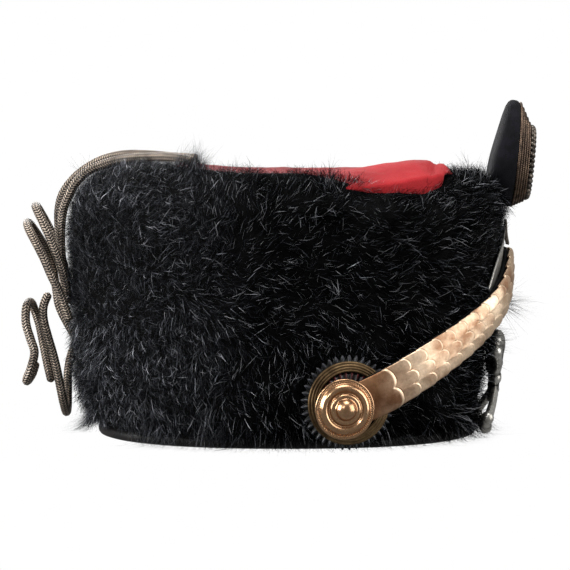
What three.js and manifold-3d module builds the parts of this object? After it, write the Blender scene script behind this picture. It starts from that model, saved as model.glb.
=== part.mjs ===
// A hussar officer's busby: a fur cap with a red cloth bag, an oval field badge,
// brass chin scales on two cockades, a white-metal front badge and cap lines.
// Millimetres, +Z up. +X is the front of the cap and -Y the wearer's right side.
import * as THREE from "three";
import { mergeVertices } from "three/addons/utils/BufferGeometryUtils.js";
import Module from "manifold-3d";

const wasm = await Module();
wasm.setup();

// Driving dimensions
const gap = 0.3; // between pieces that touch on the real cap
const planPower = 2.3; // fullness of the oval plan, 2 is an ellipse
const ringPoints = 32; // points round the body
const shellWall = 2.5;
const crownHeight = 140;
const rimHeight = 6;
const backRise = 5; // how much higher the fur stands at the rear
const clothWall = 1.6;
const cockadeSpot = { x: 30.3, z: 26.4 };
const cockadeTurn = 0.21; // radians from the side toward the front
const pleatRadius = 25.6;
const pleatTeeth = 28;
const ringRadius = 22.4;
const rosetteRadius = 16;
const scaleThickness = 0.8;
const scalePitch = 10.9;
const scaleCount = 13;
const liningThickness = 1.8;
const badgeLean = 0.087; // radians, top toward the front
const badgeCordRadius = 0.9;
const cordDiameter = 5.2;
const thongDiameter = 1.6;

// The fur's outer wall, one row for each height
const furRows = [
  { z: 6.6, back: -111, front: 107, half: 94 },
  { z: 17, back: -119, front: 109.5, half: 99.5 },
  { z: 36, back: -123.5, front: 112.5, half: 102.5 },
  { z: 90, back: -126, front: 119.5, half: 103 },
  { z: 122, back: -126, front: 123, half: 102 },
  { z: 134, back: -121, front: 122.5, half: 98.5 },
  { z: 143, back: -112, front: 118, half: 92 },
  { z: 149, back: -98, front: 109, half: 83 },
];
// The stiff body under the fur
const shellRows = [
  { z: rimHeight + gap, back: -106, front: 102.5, half: 89 },
  { z: 36, back: -111, front: 103.5, half: 91 },
  { z: 90, back: -112, front: 108, half: 91 },
  { z: 125, back: -110, front: 110, half: 90 },
  { z: 136, back: -106, front: 107, half: 87 },
  { z: crownHeight, back: -100, front: 101, half: 81 },
];
const crownOpening = { back: -89, front: 97, half: 73 };
// The red cloth from the near edge of the crown over to the far side, where it hangs down
const bagRows = [
  { y: -68.6, z: 144, back: -22, front: 30, drop: 0, wrap: 0 },
  { y: -63, z: 147.5, back: -44, front: 52, drop: 3, wrap: 0 },
  { y: -45, z: 148.5, back: -73, front: 81, drop: 5, wrap: 0 },
  { y: -15, z: 148.5, back: -86.5, front: 94.5, drop: 5.5, wrap: 0 },
  { y: 15, z: 148.5, back: -86.5, front: 94.5, drop: 5.5, wrap: 0 },
  { y: 40, z: 149, back: -76, front: 84, drop: 3, wrap: 0 },
  { y: 58, z: 150, back: -66, front: 74, drop: 0, wrap: 0 },
  { y: 84, z: 151, back: -64, front: 68, drop: 0, wrap: 2 },
  { y: 100, z: 146, back: -63, front: 62, drop: 0, wrap: 5 },
  { y: 106, z: 133, back: -62, front: 56, drop: 0, wrap: 7 },
  { y: 107, z: 112, back: -62, front: 46, drop: 0, wrap: 7 },
  { y: 107, z: 80, back: -60, front: 22, drop: 0, wrap: 5 },
  { y: 106.5, z: 52, back: -54, front: -6, drop: 0, wrap: 2 },
  { y: 105.5, z: 28, back: -41, front: -23, drop: 0, wrap: 0 },
];
// The chin strap's middle line on the wearer's right, from the boss to the front
const strapRows = [
  { x: 28, y: -108.8, z: 23, width: 22 },
  { x: 48, y: -104.8, z: 32, width: 22 },
  { x: 66, y: -97, z: 42, width: 21.5 },
  { x: 78, y: -89, z: 49.3, width: 21 },
  { x: 95.6, y: -71.5, z: 60.4, width: 20 },
  { x: 111.6, y: -49.9, z: 73, width: 18.5 },
  { x: 119, y: -33.2, z: 82.8, width: 17.5 },
  { x: 122.2, y: -16, z: 92.4, width: 16.5 },
  { x: 123.6, y: -0.5, z: 99, width: 16 },
];
// Half height of the badge's oval at each depth, measured forward from its back
const badgeRows = [
  { x: 0, half: 17, drop: 0 },
  { x: 2, half: 25.5, drop: 0 },
  { x: 6, half: 30.8, drop: 0 },
  { x: 12, half: 30.4, drop: 0 },
  { x: 12.6, half: 28.6, drop: 0.1 },
  { x: 21, half: 22.8, drop: 2.2 },
];
const badgeNarrower = 7.6; // the oval's half width is less than its half height by this
// Rows of fur locks: lean is the tips' way, forward when positive
const lockRows = [
  { z: 33, count: 18, length: 25, lean: 0.5 },
  { z: 62, count: 19, length: 24, lean: 0.35 },
  { z: 92, count: 18, length: 24, lean: -0.3 },
  { z: 122, count: 19, length: 24, lean: -0.55 },
];
// Tufts that stand out of the outline, from root to tip
const tuftRows = [
  { x: 113, y: -14, z: 77, dx: 24, dy: -2, dz: -10, width: 6 },
  { x: 104, y: -34, z: 143, dx: 2, dy: -1, dz: 17, width: 5 },
  { x: -32, y: -80, z: 143, dx: -8, dy: 0, dz: 13, width: 5 },
];
// Cap lines and hanging cords, points by eye along each route
const cordRoutes = {
  cap_line_near: [
    [-52, -66, 156], [-66, -52, 158], [-81, -38, 158], [-95, -27, 157], [-106.5, -20, 154],
    [-115, -17, 150.5], [-122, -15, 144.5], [-126.5, -14, 137], [-130, -13, 129], [-131.6, -12, 120],
    [-132, -11, 110], [-131.6, -10, 100], [-131, -9, 91], [-129.8, -8, 82], [-128.6, -8, 74],
  ],
  cap_line_far: [
    [-52, -52, 157.4], [-66, -40, 158.4], [-81, -28, 159.6], [-95, -18, 159.6], [-107, -12, 157],
    [-117, -9, 152], [-125, -7, 145.5], [-131, -5.5, 137.5], [-133.6, -4, 129], [-134, -3, 120],
    [-133.4, -1.5, 110], [-132.6, 0, 100], [-132, 2, 91], [-130.2, 4, 82], [-127.4, 5, 75],
  ],
  loop_upper: [
    [-128.4, 12.6, 72], [-130.4, 13.4, 84], [-133, 13.6, 96], [-137, 13.4, 108], [-142, 11, 119],
    [-146, 5, 127.4], [-147, -3, 130], [-145.6, -11, 128], [-142, -16, 121.5], [-138, -18.6, 113.5],
    [-136, -19.2, 109.2], [-134.6, -19.6, 105], [-131.6, -19.6, 97], [-129.2, -19, 88], [-127.7, -18, 79],
  ],
  loop_lower: [
    [-125.2, 24, 49], [-130.8, 24.4, 58], [-136.6, 24, 70], [-138.4, 22, 82], [-140, 18, 94],
    [-144, 13, 106], [-149, 5, 116], [-151.6, -4, 120.4], [-150, -14, 117], [-145, -21, 109],
    [-140, -25, 100], [-136, -26.6, 91], [-131.6, -27, 82], [-128.4, -26.6, 73], [-125.4, -26, 65],
  ],
  long_strand: [
    [-139.6, -6, 80], [-142.6, -7, 72], [-142.4, -8, 64], [-140, -9, 55], [-137, -10, 45],
    [-134.6, -10, 35], [-133, -9, 26], [-131.6, -6, 17], [-130.8, 0, 11], [-130.8, 7, 9.6],
    [-131, 14, 13], [-131.2, 17.6, 22], [-131, 18, 32], [-129, 17.4, 42], [-125.6, 16.4, 50],
  ],
  small_loop: [
    [-138.1, -6.6, 28], [-140.8, -3.4, 38], [-143.4, 0, 49], [-146, 3.4, 60], [-148.6, 2, 69],
    [-150.4, -4, 74.4], [-152, -11, 72], [-152, -14, 63], [-149.4, -15, 54], [-147, -16, 46],
    [-149, -17, 37], [-151.6, -14, 31], [-152, -8, 29], [-149.6, -3.6, 33], [-147.4, -4, 40],
  ],
};

// Colours, gloss and metalness of the materials
const finish = (color, roughness, metalness) =>
  new THREE.MeshStandardMaterial({ color, roughness, metalness });
const materials = {
  fur: finish(0x0b0b0d, 0.6, 0),
  leather: finish(0x1c1411, 0.5, 0),
  redCloth: finish(0xb81b22, 0.85, 0),
  blackCloth: finish(0x15151a, 0.9, 0),
  darkRedCloth: finish(0x5a1016, 0.8, 0),
  brass: finish(0xc9935c, 0.3, 1),
  tarnishedBrass: finish(0x8d6f45, 0.45, 1),
  silverCord: finish(0x8f8377, 0.6, 0.4),
  whiteMetal: finish(0xc9c8c4, 0.3, 1),
};

const busby = new THREE.Group();
const hardPieces = new THREE.Group();
const freeCords = new THREE.Group();
busby.add(hardPieces, freeCords);

function add(name, geometry, material, parent = hardPieces) {
  const mesh = new THREE.Mesh(geometry, material);
  mesh.name = name;
  parent.add(mesh);
}

const vector = (x, y, z) => new THREE.Vector3(x, y, z);
const smooth = (low, high, value) => THREE.MathUtils.smoothstep(value, low, high);
const bend = (value, power) => Math.abs(value) ** power;

// Turns the faces outward where the solid was built inside out.
function facingOut(geometry) {
  const index = geometry.index.array;
  const at = geometry.attributes.position;
  const corner = (i) => vector().fromBufferAttribute(at, index[i]);
  let volume = 0;
  for (let i = 0; i < index.length; i += 3) {
    volume += corner(i).dot(corner(i + 1).cross(corner(i + 2)));
  }
  for (let i = 0; volume < 0 && i < index.length; i += 3) {
    [index[i], index[i + 1]] = [index[i + 1], index[i]];
  }
  return geometry;
}

// A closed solid through rings of equal point counts. Its ends are fans, strips between the
// two halves of the ring, or "joined", where the last ring meets the first.
function loft(rings, ends = "fan") {
  const count = rings[0].length;
  const index = [];
  const spans = ends === "joined" ? rings.length : rings.length - 1;
  for (let r = 0; r < spans; r++) {
    const here = r * count;
    const next = ((r + 1) % rings.length) * count;
    for (let i = 0; i < count; i++) {
      const j = (i + 1) % count;
      index.push(here + i, here + j, next + j, here + i, next + j, next + i);
    }
  }
  const end = (rings.length - 1) * count;
  for (let i = 1; ends === "fan" && i < count - 1; i++) {
    index.push(0, i + 1, i, end, end + i, end + i + 1);
  }
  for (let i = 0; ends === "strip" && i < count / 2 - 1; i++) {
    const j = count - 1 - i;
    index.push(i, j - 1, i + 1, i, j, j - 1);
    index.push(end + i, end + i + 1, end + j - 1, end + i, end + j - 1, end + j);
  }
  const geometry = new THREE.BufferGeometry();
  const positions = rings.flat().flatMap((point) => point.toArray());
  geometry.setAttribute("position", new THREE.Float32BufferAttribute(positions, 3));
  geometry.setIndex(index);
  return facingOut(geometry);
}

// A closed sheet of the given thickness about a grid of middle points.
function sheet(grid, thickness) {
  const rings = grid.map((row, r) => {
    const before = grid[Math.max(r - 1, 0)];
    const after = grid[Math.min(r + 1, grid.length - 1)];
    const normals = row.map((point, t) => {
      const along = row[Math.min(t + 1, row.length - 1)].clone().sub(row[Math.max(t - 1, 0)]);
      return along.cross(after[t].clone().sub(before[t])).normalize();
    });
    const offset = (side) => (side * thickness) / 2;
    const shifted = (side) => row.map((p, t) => p.clone().addScaledVector(normals[t], offset(side)));
    return [...shifted(1), ...shifted(-1).reverse()];
  });
  return loft(rings, "strip");
}

function toSolid(geometry) {
  const bare = geometry.clone();
  bare.deleteAttribute("normal");
  bare.deleteAttribute("uv");
  const merged = mergeVertices(bare, 1e-4);
  const triVerts = new Uint32Array(merged.index.array);
  const vertProperties = new Float32Array(merged.attributes.position.array);
  return new wasm.Manifold(new wasm.Mesh({ numProp: 3, vertProperties, triVerts }));
}

function toGeometry(solid) {
  const mesh = solid.getMesh();
  const geometry = new THREE.BufferGeometry();
  geometry.setAttribute("position", new THREE.BufferAttribute(mesh.vertProperties, 3));
  geometry.setIndex(new THREE.BufferAttribute(mesh.triVerts, 1));
  return geometry;
}

// A closed profile turned about the Z axis
function turned(profile, segments) {
  const points = profile.map(([radius, height]) => new THREE.Vector2(radius, height));
  return new THREE.LatheGeometry(points, segments).rotateX(Math.PI / 2);
}

function tube(points, diameter, steps, sides) {
  const angles = Array.from({ length: sides }, (_, i) => (i / sides) * 2 * Math.PI);
  const radius = diameter / 2;
  const corners = angles.map((a) => new THREE.Vector2(radius * Math.cos(a), radius * Math.sin(a)));
  const extrudePath = new THREE.CatmullRomCurve3(points.map((point) => vector(...point)));
  return new THREE.ExtrudeGeometry(new THREE.Shape(corners), { steps, extrudePath, bevelEnabled: false });
}

// A point of the oval plan at an angle from the front
function ovalPoint(row, angle, inset = 0) {
  const reach = (row.front - row.back) / 2 - inset;
  const round = (bend(Math.cos(angle), planPower) + bend(Math.sin(angle), planPower)) ** (-1 / planPower);
  const x = (row.front + row.back) / 2 + reach * round * Math.cos(angle);
  return vector(x, (row.half - inset) * round * Math.sin(angle), row.z);
}

const ringAngles = Array.from({ length: ringPoints }, (_, i) => (i / ringPoints) * 2 * Math.PI);
const ovalRing = (row, inset = 0) => ringAngles.map((angle) => ovalPoint(row, angle, inset));

// The fur stands higher over the rear of the crown
function raised(point) {
  const rise = backRise * smooth(20, 85, -point.x) * smooth(118, 146, point.z);
  return point.setZ(point.z + rise);
}

function furRowAt(z) {
  const next = Math.max(1, furRows.findIndex((row) => row.z >= z));
  const [low, high] = [furRows[next - 1], furRows[next]];
  const share = (z - low.z) / (high.z - low.z);
  const between = (key) => THREE.MathUtils.lerp(low[key], high[key], share);
  return { z, back: between("back"), front: between("front"), half: between("half") };
}

const furPoint = (angle, z) => ovalPoint(furRowAt(z), angle);

// The fur's surface straight ahead of the cap's middle, at a distance to the side
function furFront(y, z) {
  const row = furRowAt(z);
  const reach = (row.front - row.back) / 2;
  const round = (1 - bend(y / row.half, planPower)) ** (1 / planPower);
  return vector((row.front + row.back) / 2 + reach * round, y, z);
}

function capBody() {
  const outer = shellRows.map((row) => ovalRing(row));
  const innerHeight = (row) => Math.min(row.z, crownHeight - shellWall);
  const inner = shellRows.map((row) => ovalRing({ ...row, z: innerHeight(row) }, shellWall));
  return loft([...outer.reverse(), ...inner]);
}

function rimBinding() {
  const edge = shellRows[0];
  const section = [[4.5, 0], [-3.6, 0], [-5, 1.6], [-5, 4.4], [-3.8, rimHeight], [4.5, rimHeight]];
  return loft(section.map(([inset, z]) => ovalRing({ ...edge, z }, inset)), "joined");
}

// One tapered lock from its root in the wall to a free tip
function lock(root, middle, tip, out, width, thickness) {
  const across = tip.clone().sub(root).cross(out).normalize();
  const section = (centre, wide, thick) => [
    centre.clone().addScaledVector(across, wide),
    centre.clone().addScaledVector(out, thick),
    centre.clone().addScaledVector(across, -wide),
    centre.clone().addScaledVector(out, -thick),
  ];
  const widest = section(middle, width, thickness);
  return loft([section(root, width * 0.7, thickness), widest, section(tip, 0.5, 0.3)]);
}

// Bare stretches of the wall, where a badge, cockade, cord or the bag lies
function isCovered(point) {
  const underCockade = Math.hypot(point.x - cockadeSpot.x, point.z - cockadeSpot.z) < pleatRadius + 11;
  const underBadge = point.x > 85 && Math.abs(point.y) < 58 && point.z < 68;
  const underScroll = point.x > 85 && Math.abs(point.y) < 58 && point.z > 68;
  const underBag = point.y > 40 && point.x > -85 && point.x < 80;
  const underCords = point.x < -100 && Math.abs(point.y) < 48;
  return underCockade || underBadge || underScroll || underBag || underCords;
}

function furLocks() {
  return lockRows.flatMap((row, r) =>
    Array.from({ length: row.count }, (_, i) => {
      const angle = ((i + (r % 2) / 2) / row.count) * 2 * Math.PI;
      const swing = row.lean + 0.3 * Math.sin(7 * i + 3 * r);
      const towardFront = -Math.sign(Math.sin(angle) || 1);
      const turn = (towardFront * swing * row.length) / 105;
      const out = vector(Math.cos(angle), Math.sin(angle), 0);
      const root = furPoint(angle, row.z).addScaledVector(out, -2.5);
      const middle = furPoint(angle + turn / 2, row.z - row.length / 2).addScaledVector(out, 0.8);
      const tip = furPoint(angle + turn, row.z - row.length).addScaledVector(out, 2.6);
      return isCovered(root) || isCovered(tip) ? null : lock(root, middle, tip, out, 6, 1.9);
    }).filter(Boolean));
}

function furTufts() {
  return tuftRows.map((row) => {
    const root = vector(row.x, row.y, row.z);
    const way = vector(row.dx, row.dy, row.dz);
    const out = vector(-row.dz, 0, row.dx).normalize();
    const middle = root.clone().addScaledVector(way, 0.5);
    return lock(root, middle, root.clone().add(way), out, row.width, 3);
  });
}

const innerEdgeHeight = 145;

function furCover() {
  const shellOuter = shellRows.map((row) => ovalRing({ ...row, z: row.z + gap }, -gap));
  const outer = furRows.map((row) => ovalRing(row).map(raised));
  const edge = [innerEdgeHeight, crownHeight + gap].map((z) => ovalRing({ ...crownOpening, z }).map(raised));
  const wall = toSolid(loft([...outer, ...edge, ...shellOuter.reverse()], "joined"));
  const furry = [...furLocks(), ...furTufts()].reduce((body, piece) => body.add(toSolid(piece)), wall);
  const seat = badgeOval(3 * gap);
  seat.rotateY(badgeLean).translate(...badgePlace.toArray());
  return toGeometry(furry.subtract(toSolid(seat)));
}

// The cloth swells near its front corner, and folds run down the hanging end
function bagPoint(row, share) {
  const side = 2 * share - 1;
  const x = THREE.MathUtils.lerp(row.back, row.front, share);
  const swell = 9.4 * smooth(16, 68, x) * (1 - smooth(84, 94, x)) * Math.exp(-(((row.y + 38) / 26) ** 2));
  const sag = 1.2 * Math.sin(x / 9) * smooth(60, 10, Math.abs(row.y));
  const fold = 1.1 * Math.sin(side * 7) * smooth(100, 108, row.y);
  const z = raised(vector(x, row.y, row.z - row.drop * bend(side, 6))).z;
  return vector(x, row.y - row.wrap * side * side + Math.abs(fold), z + swell + sag);
}

function bag() {
  const columns = Array.from({ length: 14 }, (_, i) => i / 13);
  return sheet(bagRows.map((row) => columns.map((share) => bagPoint(row, share))), clothWall);
}

const badgePlace = vector(115.2, 0, 161.4);

function badgeRing(x, half, drop, count = 28) {
  const angles = Array.from({ length: count }, (_, i) => (i / count) * 2 * Math.PI);
  return angles.map((a) => vector(x, (half - badgeNarrower) * Math.cos(a), half * Math.sin(a) - drop));
}

function badgeOval(extra = 0) {
  const forward = (row) => (row.x > 3 ? extra : -extra);
  return loft(badgeRows.map((row) => badgeRing(row.x + forward(row), row.half + extra, row.drop)));
}

function badgeCord(number) {
  const share = number / 4;
  const middle = { x: 13.9 + 6.8 * share, half: 29.4 - 4.7 * share, drop: 0.3 + 1.8 * share };
  const corners = Array.from({ length: 4 }, (_, i) => (i / 4) * 2 * Math.PI);
  const section = ([forward, out]) => badgeRing(middle.x + forward, middle.half + out, middle.drop, 20);
  const rings = corners.map((a) => section([badgeCordRadius * Math.cos(a), badgeCordRadius * Math.sin(a)]));
  return loft(rings, "joined");
}

// The coils' ridges stand side by side round the front edge
function badgeCoils() {
  const points = 40;
  const ridge = (ring, height) => ring.map((point, i) => point.setX(point.x + (i % 2 ? height : 0)));
  const base = 21 + gap;
  const outerEdge = badgeRing(base, 22.4, 2.4, points);
  const innerEdge = badgeRing(base, 15.4, 2.4, points);
  const outerTop = ridge(badgeRing(base + 2.4, 21.8, 2.6, points), 1.2);
  const innerTop = ridge(badgeRing(base + 2.4, 16, 2.6, points), 1.2);
  return loft([outerEdge, outerTop, innerTop, innerEdge], "joined");
}

function badgeCentre() {
  const base = 21 + gap;
  const steps = [[0, 15, 2.4], [1.4, 14.4, 2.6], [2.6, 10.5, 2.7]];
  return loft(steps.map(([forward, half, drop]) => badgeRing(base + forward, half, drop, 20)));
}

function fieldBadge() {
  const badge = new THREE.Group();
  add("badge_body", badgeOval(), materials.blackCloth, badge);
  for (let i = 0; i < 5; i++) add(`badge_cord_${i + 1}`, badgeCord(i), materials.silverCord, badge);
  add("badge_coils", badgeCoils(), materials.silverCord, badge);
  add("badge_centre", badgeCentre(), materials.blackCloth, badge);
  badge.position.copy(badgePlace);
  badge.rotation.y = badgeLean;
  hardPieces.add(badge);
}

// A pleated ruffle: teeth round the edge of a flat ring
function pleats(outer, depth, inner, teeth, thickness) {
  const points = Array.from({ length: teeth * 2 }, (_, i) => {
    const angle = (i / teeth) * Math.PI;
    const radius = outer - (i % 2 ? depth : 0);
    return new THREE.Vector2(radius * Math.cos(angle), radius * Math.sin(angle));
  });
  const shape = new THREE.Shape(points);
  shape.holes.push(new THREE.Path().absarc(0, 0, inner, 0, 2 * Math.PI, true));
  return new THREE.ExtrudeGeometry(shape, { depth: thickness, bevelEnabled: false, curveSegments: 8 });
}

const ringProfile = [[16.8, 0], [22, 0], [ringRadius, 1.4], [20.6, 2.6], [18.4, 3], [16.8, 1.6]];
const rosetteProfile = [
  [0, 0], [15.4, 0], [rosetteRadius, 0.8], [15.2, 1.8], [12.6, 2.2], [11, 4.2], [8, 4.6], [7.2, 4], [5.4, 7],
  [3, 8.4], [0, 8.9],
];

// The cockade and its boss, in the frame of the side they are sewn to
function cockade(label, side) {
  const group = new THREE.Group();
  const layer = (name, geometry, material, height, shift = 0, lower = 0) => {
    add(`${name}_${label}`, geometry.translate(side * shift, -lower, height), material, group);
  };
  layer("cockade_pleats", pleats(pleatRadius, 3.2, 11, pleatTeeth, 2.6), materials.blackCloth, gap);
  const ring = turned([...ringProfile, ringProfile[0]], 24);
  layer("cockade_ring", ring, materials.tarnishedBrass, 2.6 + 2 * gap);
  layer("cockade_centre", pleats(16.4, 1.6, 5, 14, 1.8), materials.darkRedCloth, 2.6 + 2 * gap);
  layer("rosette", turned(rosetteProfile, 18), materials.brass, 12.6, 4.5, 2.2);
  const out = vector(Math.sin(cockadeTurn), side * Math.cos(cockadeTurn), 0);
  const up = vector(0, 0, 1);
  group.quaternion.setFromRotationMatrix(new THREE.Matrix4().makeBasis(up.clone().cross(out), up, out));
  group.position.set(cockadeSpot.x, side * 101.4, cockadeSpot.z);
  hardPieces.add(group);
}

// The strap's frame at a length along it: place, way forward, outward and across
function strapFrames(side) {
  const spine = new THREE.CatmullRomCurve3(strapRows.map((row) => vector(row.x, -side * row.y, row.z)));
  const length = spine.getLength();
  return (distance) => {
    const share = Math.min(distance / length, 1);
    const along = spine.getTangentAt(share);
    const place = spine.getPointAt(share);
    const out = vector(place.x / 133, (place.y * 133) / 107 / 107, 0);
    out.addScaledVector(along, -out.dot(along)).normalize();
    const rowShare = spine.getUtoTmapping(share) * (strapRows.length - 1);
    const row = Math.min(Math.floor(rowShare), strapRows.length - 2);
    const width = THREE.MathUtils.lerp(strapRows[row].width, strapRows[row + 1].width, rowShare - row);
    return { side, place, out, across: along.clone().cross(out).normalize(), width, length };
  };
}

// The strap is round across: its height over its edges, from -1 to 1 across it
const strapArch = (share) => 1.9 * (1 - share * share);

// The two halves of the strap meet at the cap's middle plane without crossing it.
const besideMiddle = (point, side) => point.setY(side * Math.max(side * point.y, gap));

function strapLining(frameAt) {
  const { length } = frameAt(0);
  const stations = Array.from({ length: 15 }, (_, i) => (i / 14) * length);
  return loft(stations.map((distance) => {
    const { side, place, out, across, width } = frameAt(distance);
    const at = (share, lift) => {
      const point = place.clone().addScaledVector(across, (share * width) / 2);
      return besideMiddle(point.addScaledVector(out, lift), side);
    };
    const top = (share) => at(share, liningThickness - 0.2 + strapArch(share));
    return [at(-0.94, 0), at(0.94, 0), top(0.94), top(0.5), top(-0.5), top(-0.94)];
  }));
}

// Depth of the scalloped edge across a plate, from -1 to 1
function lobes(side, count, middleReach) {
  const share = ((side + 1) / 2) * count;
  const inLobe = 2 * (share - Math.min(Math.floor(share), count - 1)) - 1;
  const middle = count === 3 && share > 1 && share < 2 ? middleReach : 0;
  return 3.4 * Math.sqrt(Math.max(0, 1 - inLobe * inLobe)) + middle;
}

// An arched plate whose scalloped edge lies on the next plate's tail
function strapPlate(frameAt, start, reach, lobeCount) {
  const columns = lobeCount === 3 ? 9 : 12;
  const across = Array.from({ length: columns + 1 }, (_, i) => (2 * i) / columns - 1);
  const total = frameAt(0).length;
  const row = (edge) => across.map((share) => {
    const distance = Math.min(start + (edge ? reach + lobes(share, lobeCount, 1.6) : 0), total - gap);
    const { side, place, out, across: wide, width } = frameAt(distance);
    const climb = edge ? 2.2 : 0.5;
    const lift = liningThickness + climb + strapArch(share);
    const point = place.clone().addScaledVector(wide, (share * width) / 2).addScaledVector(out, lift);
    return besideMiddle(point, side);
  });
  return sheet([row(false), row(true)], scaleThickness);
}

function chinStrap(label, side) {
  const frameAt = strapFrames(side);
  add(`strap_lining_${label}`, strapLining(frameAt), materials.leather);
  const firstReach = 24;
  add(`strap_plate_${label}`, strapPlate(frameAt, 6, firstReach, 2), materials.brass);
  for (let i = 0; i < scaleCount; i++) {
    const start = 6 + firstReach + i * scalePitch;
    const name = `scale_${label}_${String(i + 1).padStart(2, "0")}`;
    add(name, strapPlate(frameAt, start, scalePitch, 3), materials.brass);
  }
}

const sphere = (segments) => new THREE.SphereGeometry(1, segments, Math.round(segments * 0.7));
const ball = (x, y, z, rx, ry, rz, segments) =>
  toSolid(sphere(segments).scale(rx, ry, rz).translate(x, y, z));

const skullPlace = vector(117.2, 0, 32);
const skullLean = 0.12;

// A bone across the badge, bent to the body's round front, with a double knob at each end
function bone(side) {
  const halfSpan = 33;
  const at = (share) => [2.4 - 5.4 * share * share, side * halfSpan * share, -3 + 22 * share];
  const shares = [-1, -0.5, 0, 0.5, 1];
  const shaft = toSolid(tube(shares.map(at), 6.2, 4, 6));
  return [-1, 1].reduce((body, end) => {
    const [x, y, z] = at(end);
    const places = [[2.2, -2.8], [-2.8, 2.2]];
    const knobs = places.map(([dy, dz]) => ball(x, y + side * end * dy, z + end * dz, 4, 4, 4, 6));
    return knobs.reduce((joined, knob) => joined.add(knob), body);
  }, shaft);
}

function skullAndBones() {
  const masses = [
    ball(0, 0, 12, 5, 16.4, 14.6, 11), ball(3, 0, 7.6, 2.8, 12.6, 3.4, 7), ball(1.6, 8, -1, 3.6, 4.6, 5, 7),
    ball(1.6, -8, -1, 3.6, 4.6, 5, 7), ball(1.8, 0, -7, 3.6, 8.6, 9, 8), bone(1), bone(-1),
  ];
  const eyes = [5.8, -5.8].map((y) => ball(5.6, y, 2, 3.2, 4.2, 4, 7));
  const hollows = [...eyes, ball(5.6, 0, -4.4, 2, 1.6, 2.8, 6)];
  const whole = masses.reduce((body, mass) => body.add(mass));
  return toGeometry(hollows.reduce((body, hollow) => body.subtract(hollow), whole));
}

// The plain arched band over the skull
function frontScroll() {
  const bandWidth = 11;
  const halfSpan = 45;
  const stations = Array.from({ length: 13 }, (_, i) => i / 6 - 1);
  const middle = (share) => ({ y: share * halfSpan, z: 113 - 32 * share * share });
  return sheet(stations.map((share) => {
    const { y, z } = middle(share);
    const slope = Math.atan2(-64 * share, halfSpan);
    return [-0.5, 0.5].map((half) => {
      const width = half * bandWidth;
      const point = furFront(y - width * Math.sin(slope), z + width * Math.cos(slope));
      return point.add(vector(0.9, share * 0.8, 0));
    });
  }), 1);
}

function frontBadges() {
  const skull = new THREE.Group();
  add("skull_and_bones", skullAndBones(), materials.whiteMetal, skull);
  skull.position.copy(skullPlace);
  skull.rotation.y = skullLean;
  hardPieces.add(skull);
  add("front_scroll", frontScroll(), materials.whiteMetal);
  const rightHalf = [[126.2, -4, 107.4], [125.1, -3.4, 114], [124.9, 0, 121.6]];
  const thongRoute = [...rightHalf, [125.1, 3.4, 114], [126.2, 4, 107.4]];
  add("strap_thong", tube(thongRoute, thongDiameter, 8, 6), materials.leather);
}

function capLines() {
  const meanStep = 2.4 * cordDiameter;
  for (const [name, route] of Object.entries(cordRoutes)) {
    const length = new THREE.CatmullRomCurve3(route.map((point) => vector(...point))).getLength();
    add(name, tube(route, cordDiameter, Math.round(length / meanStep), 8), materials.silverCord, freeCords);
  }
}

add("cap_body", capBody(), materials.leather);
add("rim_binding", rimBinding(), materials.leather);
add("fur_cover", furCover(), materials.fur);
add("bag", bag(), materials.redCloth);
fieldBadge();
cockade("right", -1);
cockade("left", 1);
chinStrap("right", -1);
chinStrap("left", 1);
frontBadges();
capLines();

// The origin is under the middle of the cap without its free cords
const extent = new THREE.Box3().setFromObject(hardPieces);
const middle = extent.getCenter(vector());
busby.position.set(-middle.x, -middle.y, -extent.min.z);

export default busby;
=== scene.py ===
import math

import bmesh
import bpy
import numpy as np
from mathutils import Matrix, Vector, noise


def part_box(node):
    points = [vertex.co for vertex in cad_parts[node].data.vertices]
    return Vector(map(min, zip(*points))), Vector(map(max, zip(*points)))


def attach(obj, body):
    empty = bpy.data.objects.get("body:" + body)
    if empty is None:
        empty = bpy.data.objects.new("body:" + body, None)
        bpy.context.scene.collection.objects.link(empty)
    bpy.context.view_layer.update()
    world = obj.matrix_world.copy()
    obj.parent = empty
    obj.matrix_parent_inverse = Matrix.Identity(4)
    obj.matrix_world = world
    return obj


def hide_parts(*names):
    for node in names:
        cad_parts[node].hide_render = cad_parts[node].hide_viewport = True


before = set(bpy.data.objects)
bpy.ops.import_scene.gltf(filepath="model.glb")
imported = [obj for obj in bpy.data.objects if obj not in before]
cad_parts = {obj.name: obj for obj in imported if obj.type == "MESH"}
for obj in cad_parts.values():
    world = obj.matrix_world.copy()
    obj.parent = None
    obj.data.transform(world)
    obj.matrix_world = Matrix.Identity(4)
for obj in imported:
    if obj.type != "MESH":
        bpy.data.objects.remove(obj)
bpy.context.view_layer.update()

mm = 0.001
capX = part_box("rim_binding")[0].x + 111 * mm  # all places below count from 111 mm before the rim's back


# A point in millimetres from the cap's middle
def place(x, y, z):
    return Vector((capX + x * mm, y * mm, z * mm))


def toCap(points):
    return np.asarray(points).reshape(-1, 3) * mm + np.array([capX, 0, 0])


def fromCap(points):
    return points / mm - np.array([capX / mm, 0, 0])


def addObject(name, data):
    item = bpy.data.objects.new(name, data)
    bpy.context.scene.collection.objects.link(item)
    return item


# Camera, first because the cords are judged in its view
camera = {"distance": 1300, "height": 155, "lookAt": (-3, 0, 84), "fieldWidth": 330.6}


def aim(item, target):
    item.rotation_euler = (target - item.location).to_track_quat("-Z", "Y").to_euler()


def makeCamera():
    data = bpy.data.cameras.new("camera")
    data.lens = data.sensor_width * camera["distance"] / camera["fieldWidth"]
    item = addObject("camera", data)
    lookX, lookY, lookZ = camera["lookAt"]
    item.location = place(lookX, -camera["distance"], camera["height"])
    target = place(lookX, lookY, lookZ)
    aim(item, target)
    bpy.context.scene.camera = item


makeCamera()
print("camera set")


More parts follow.
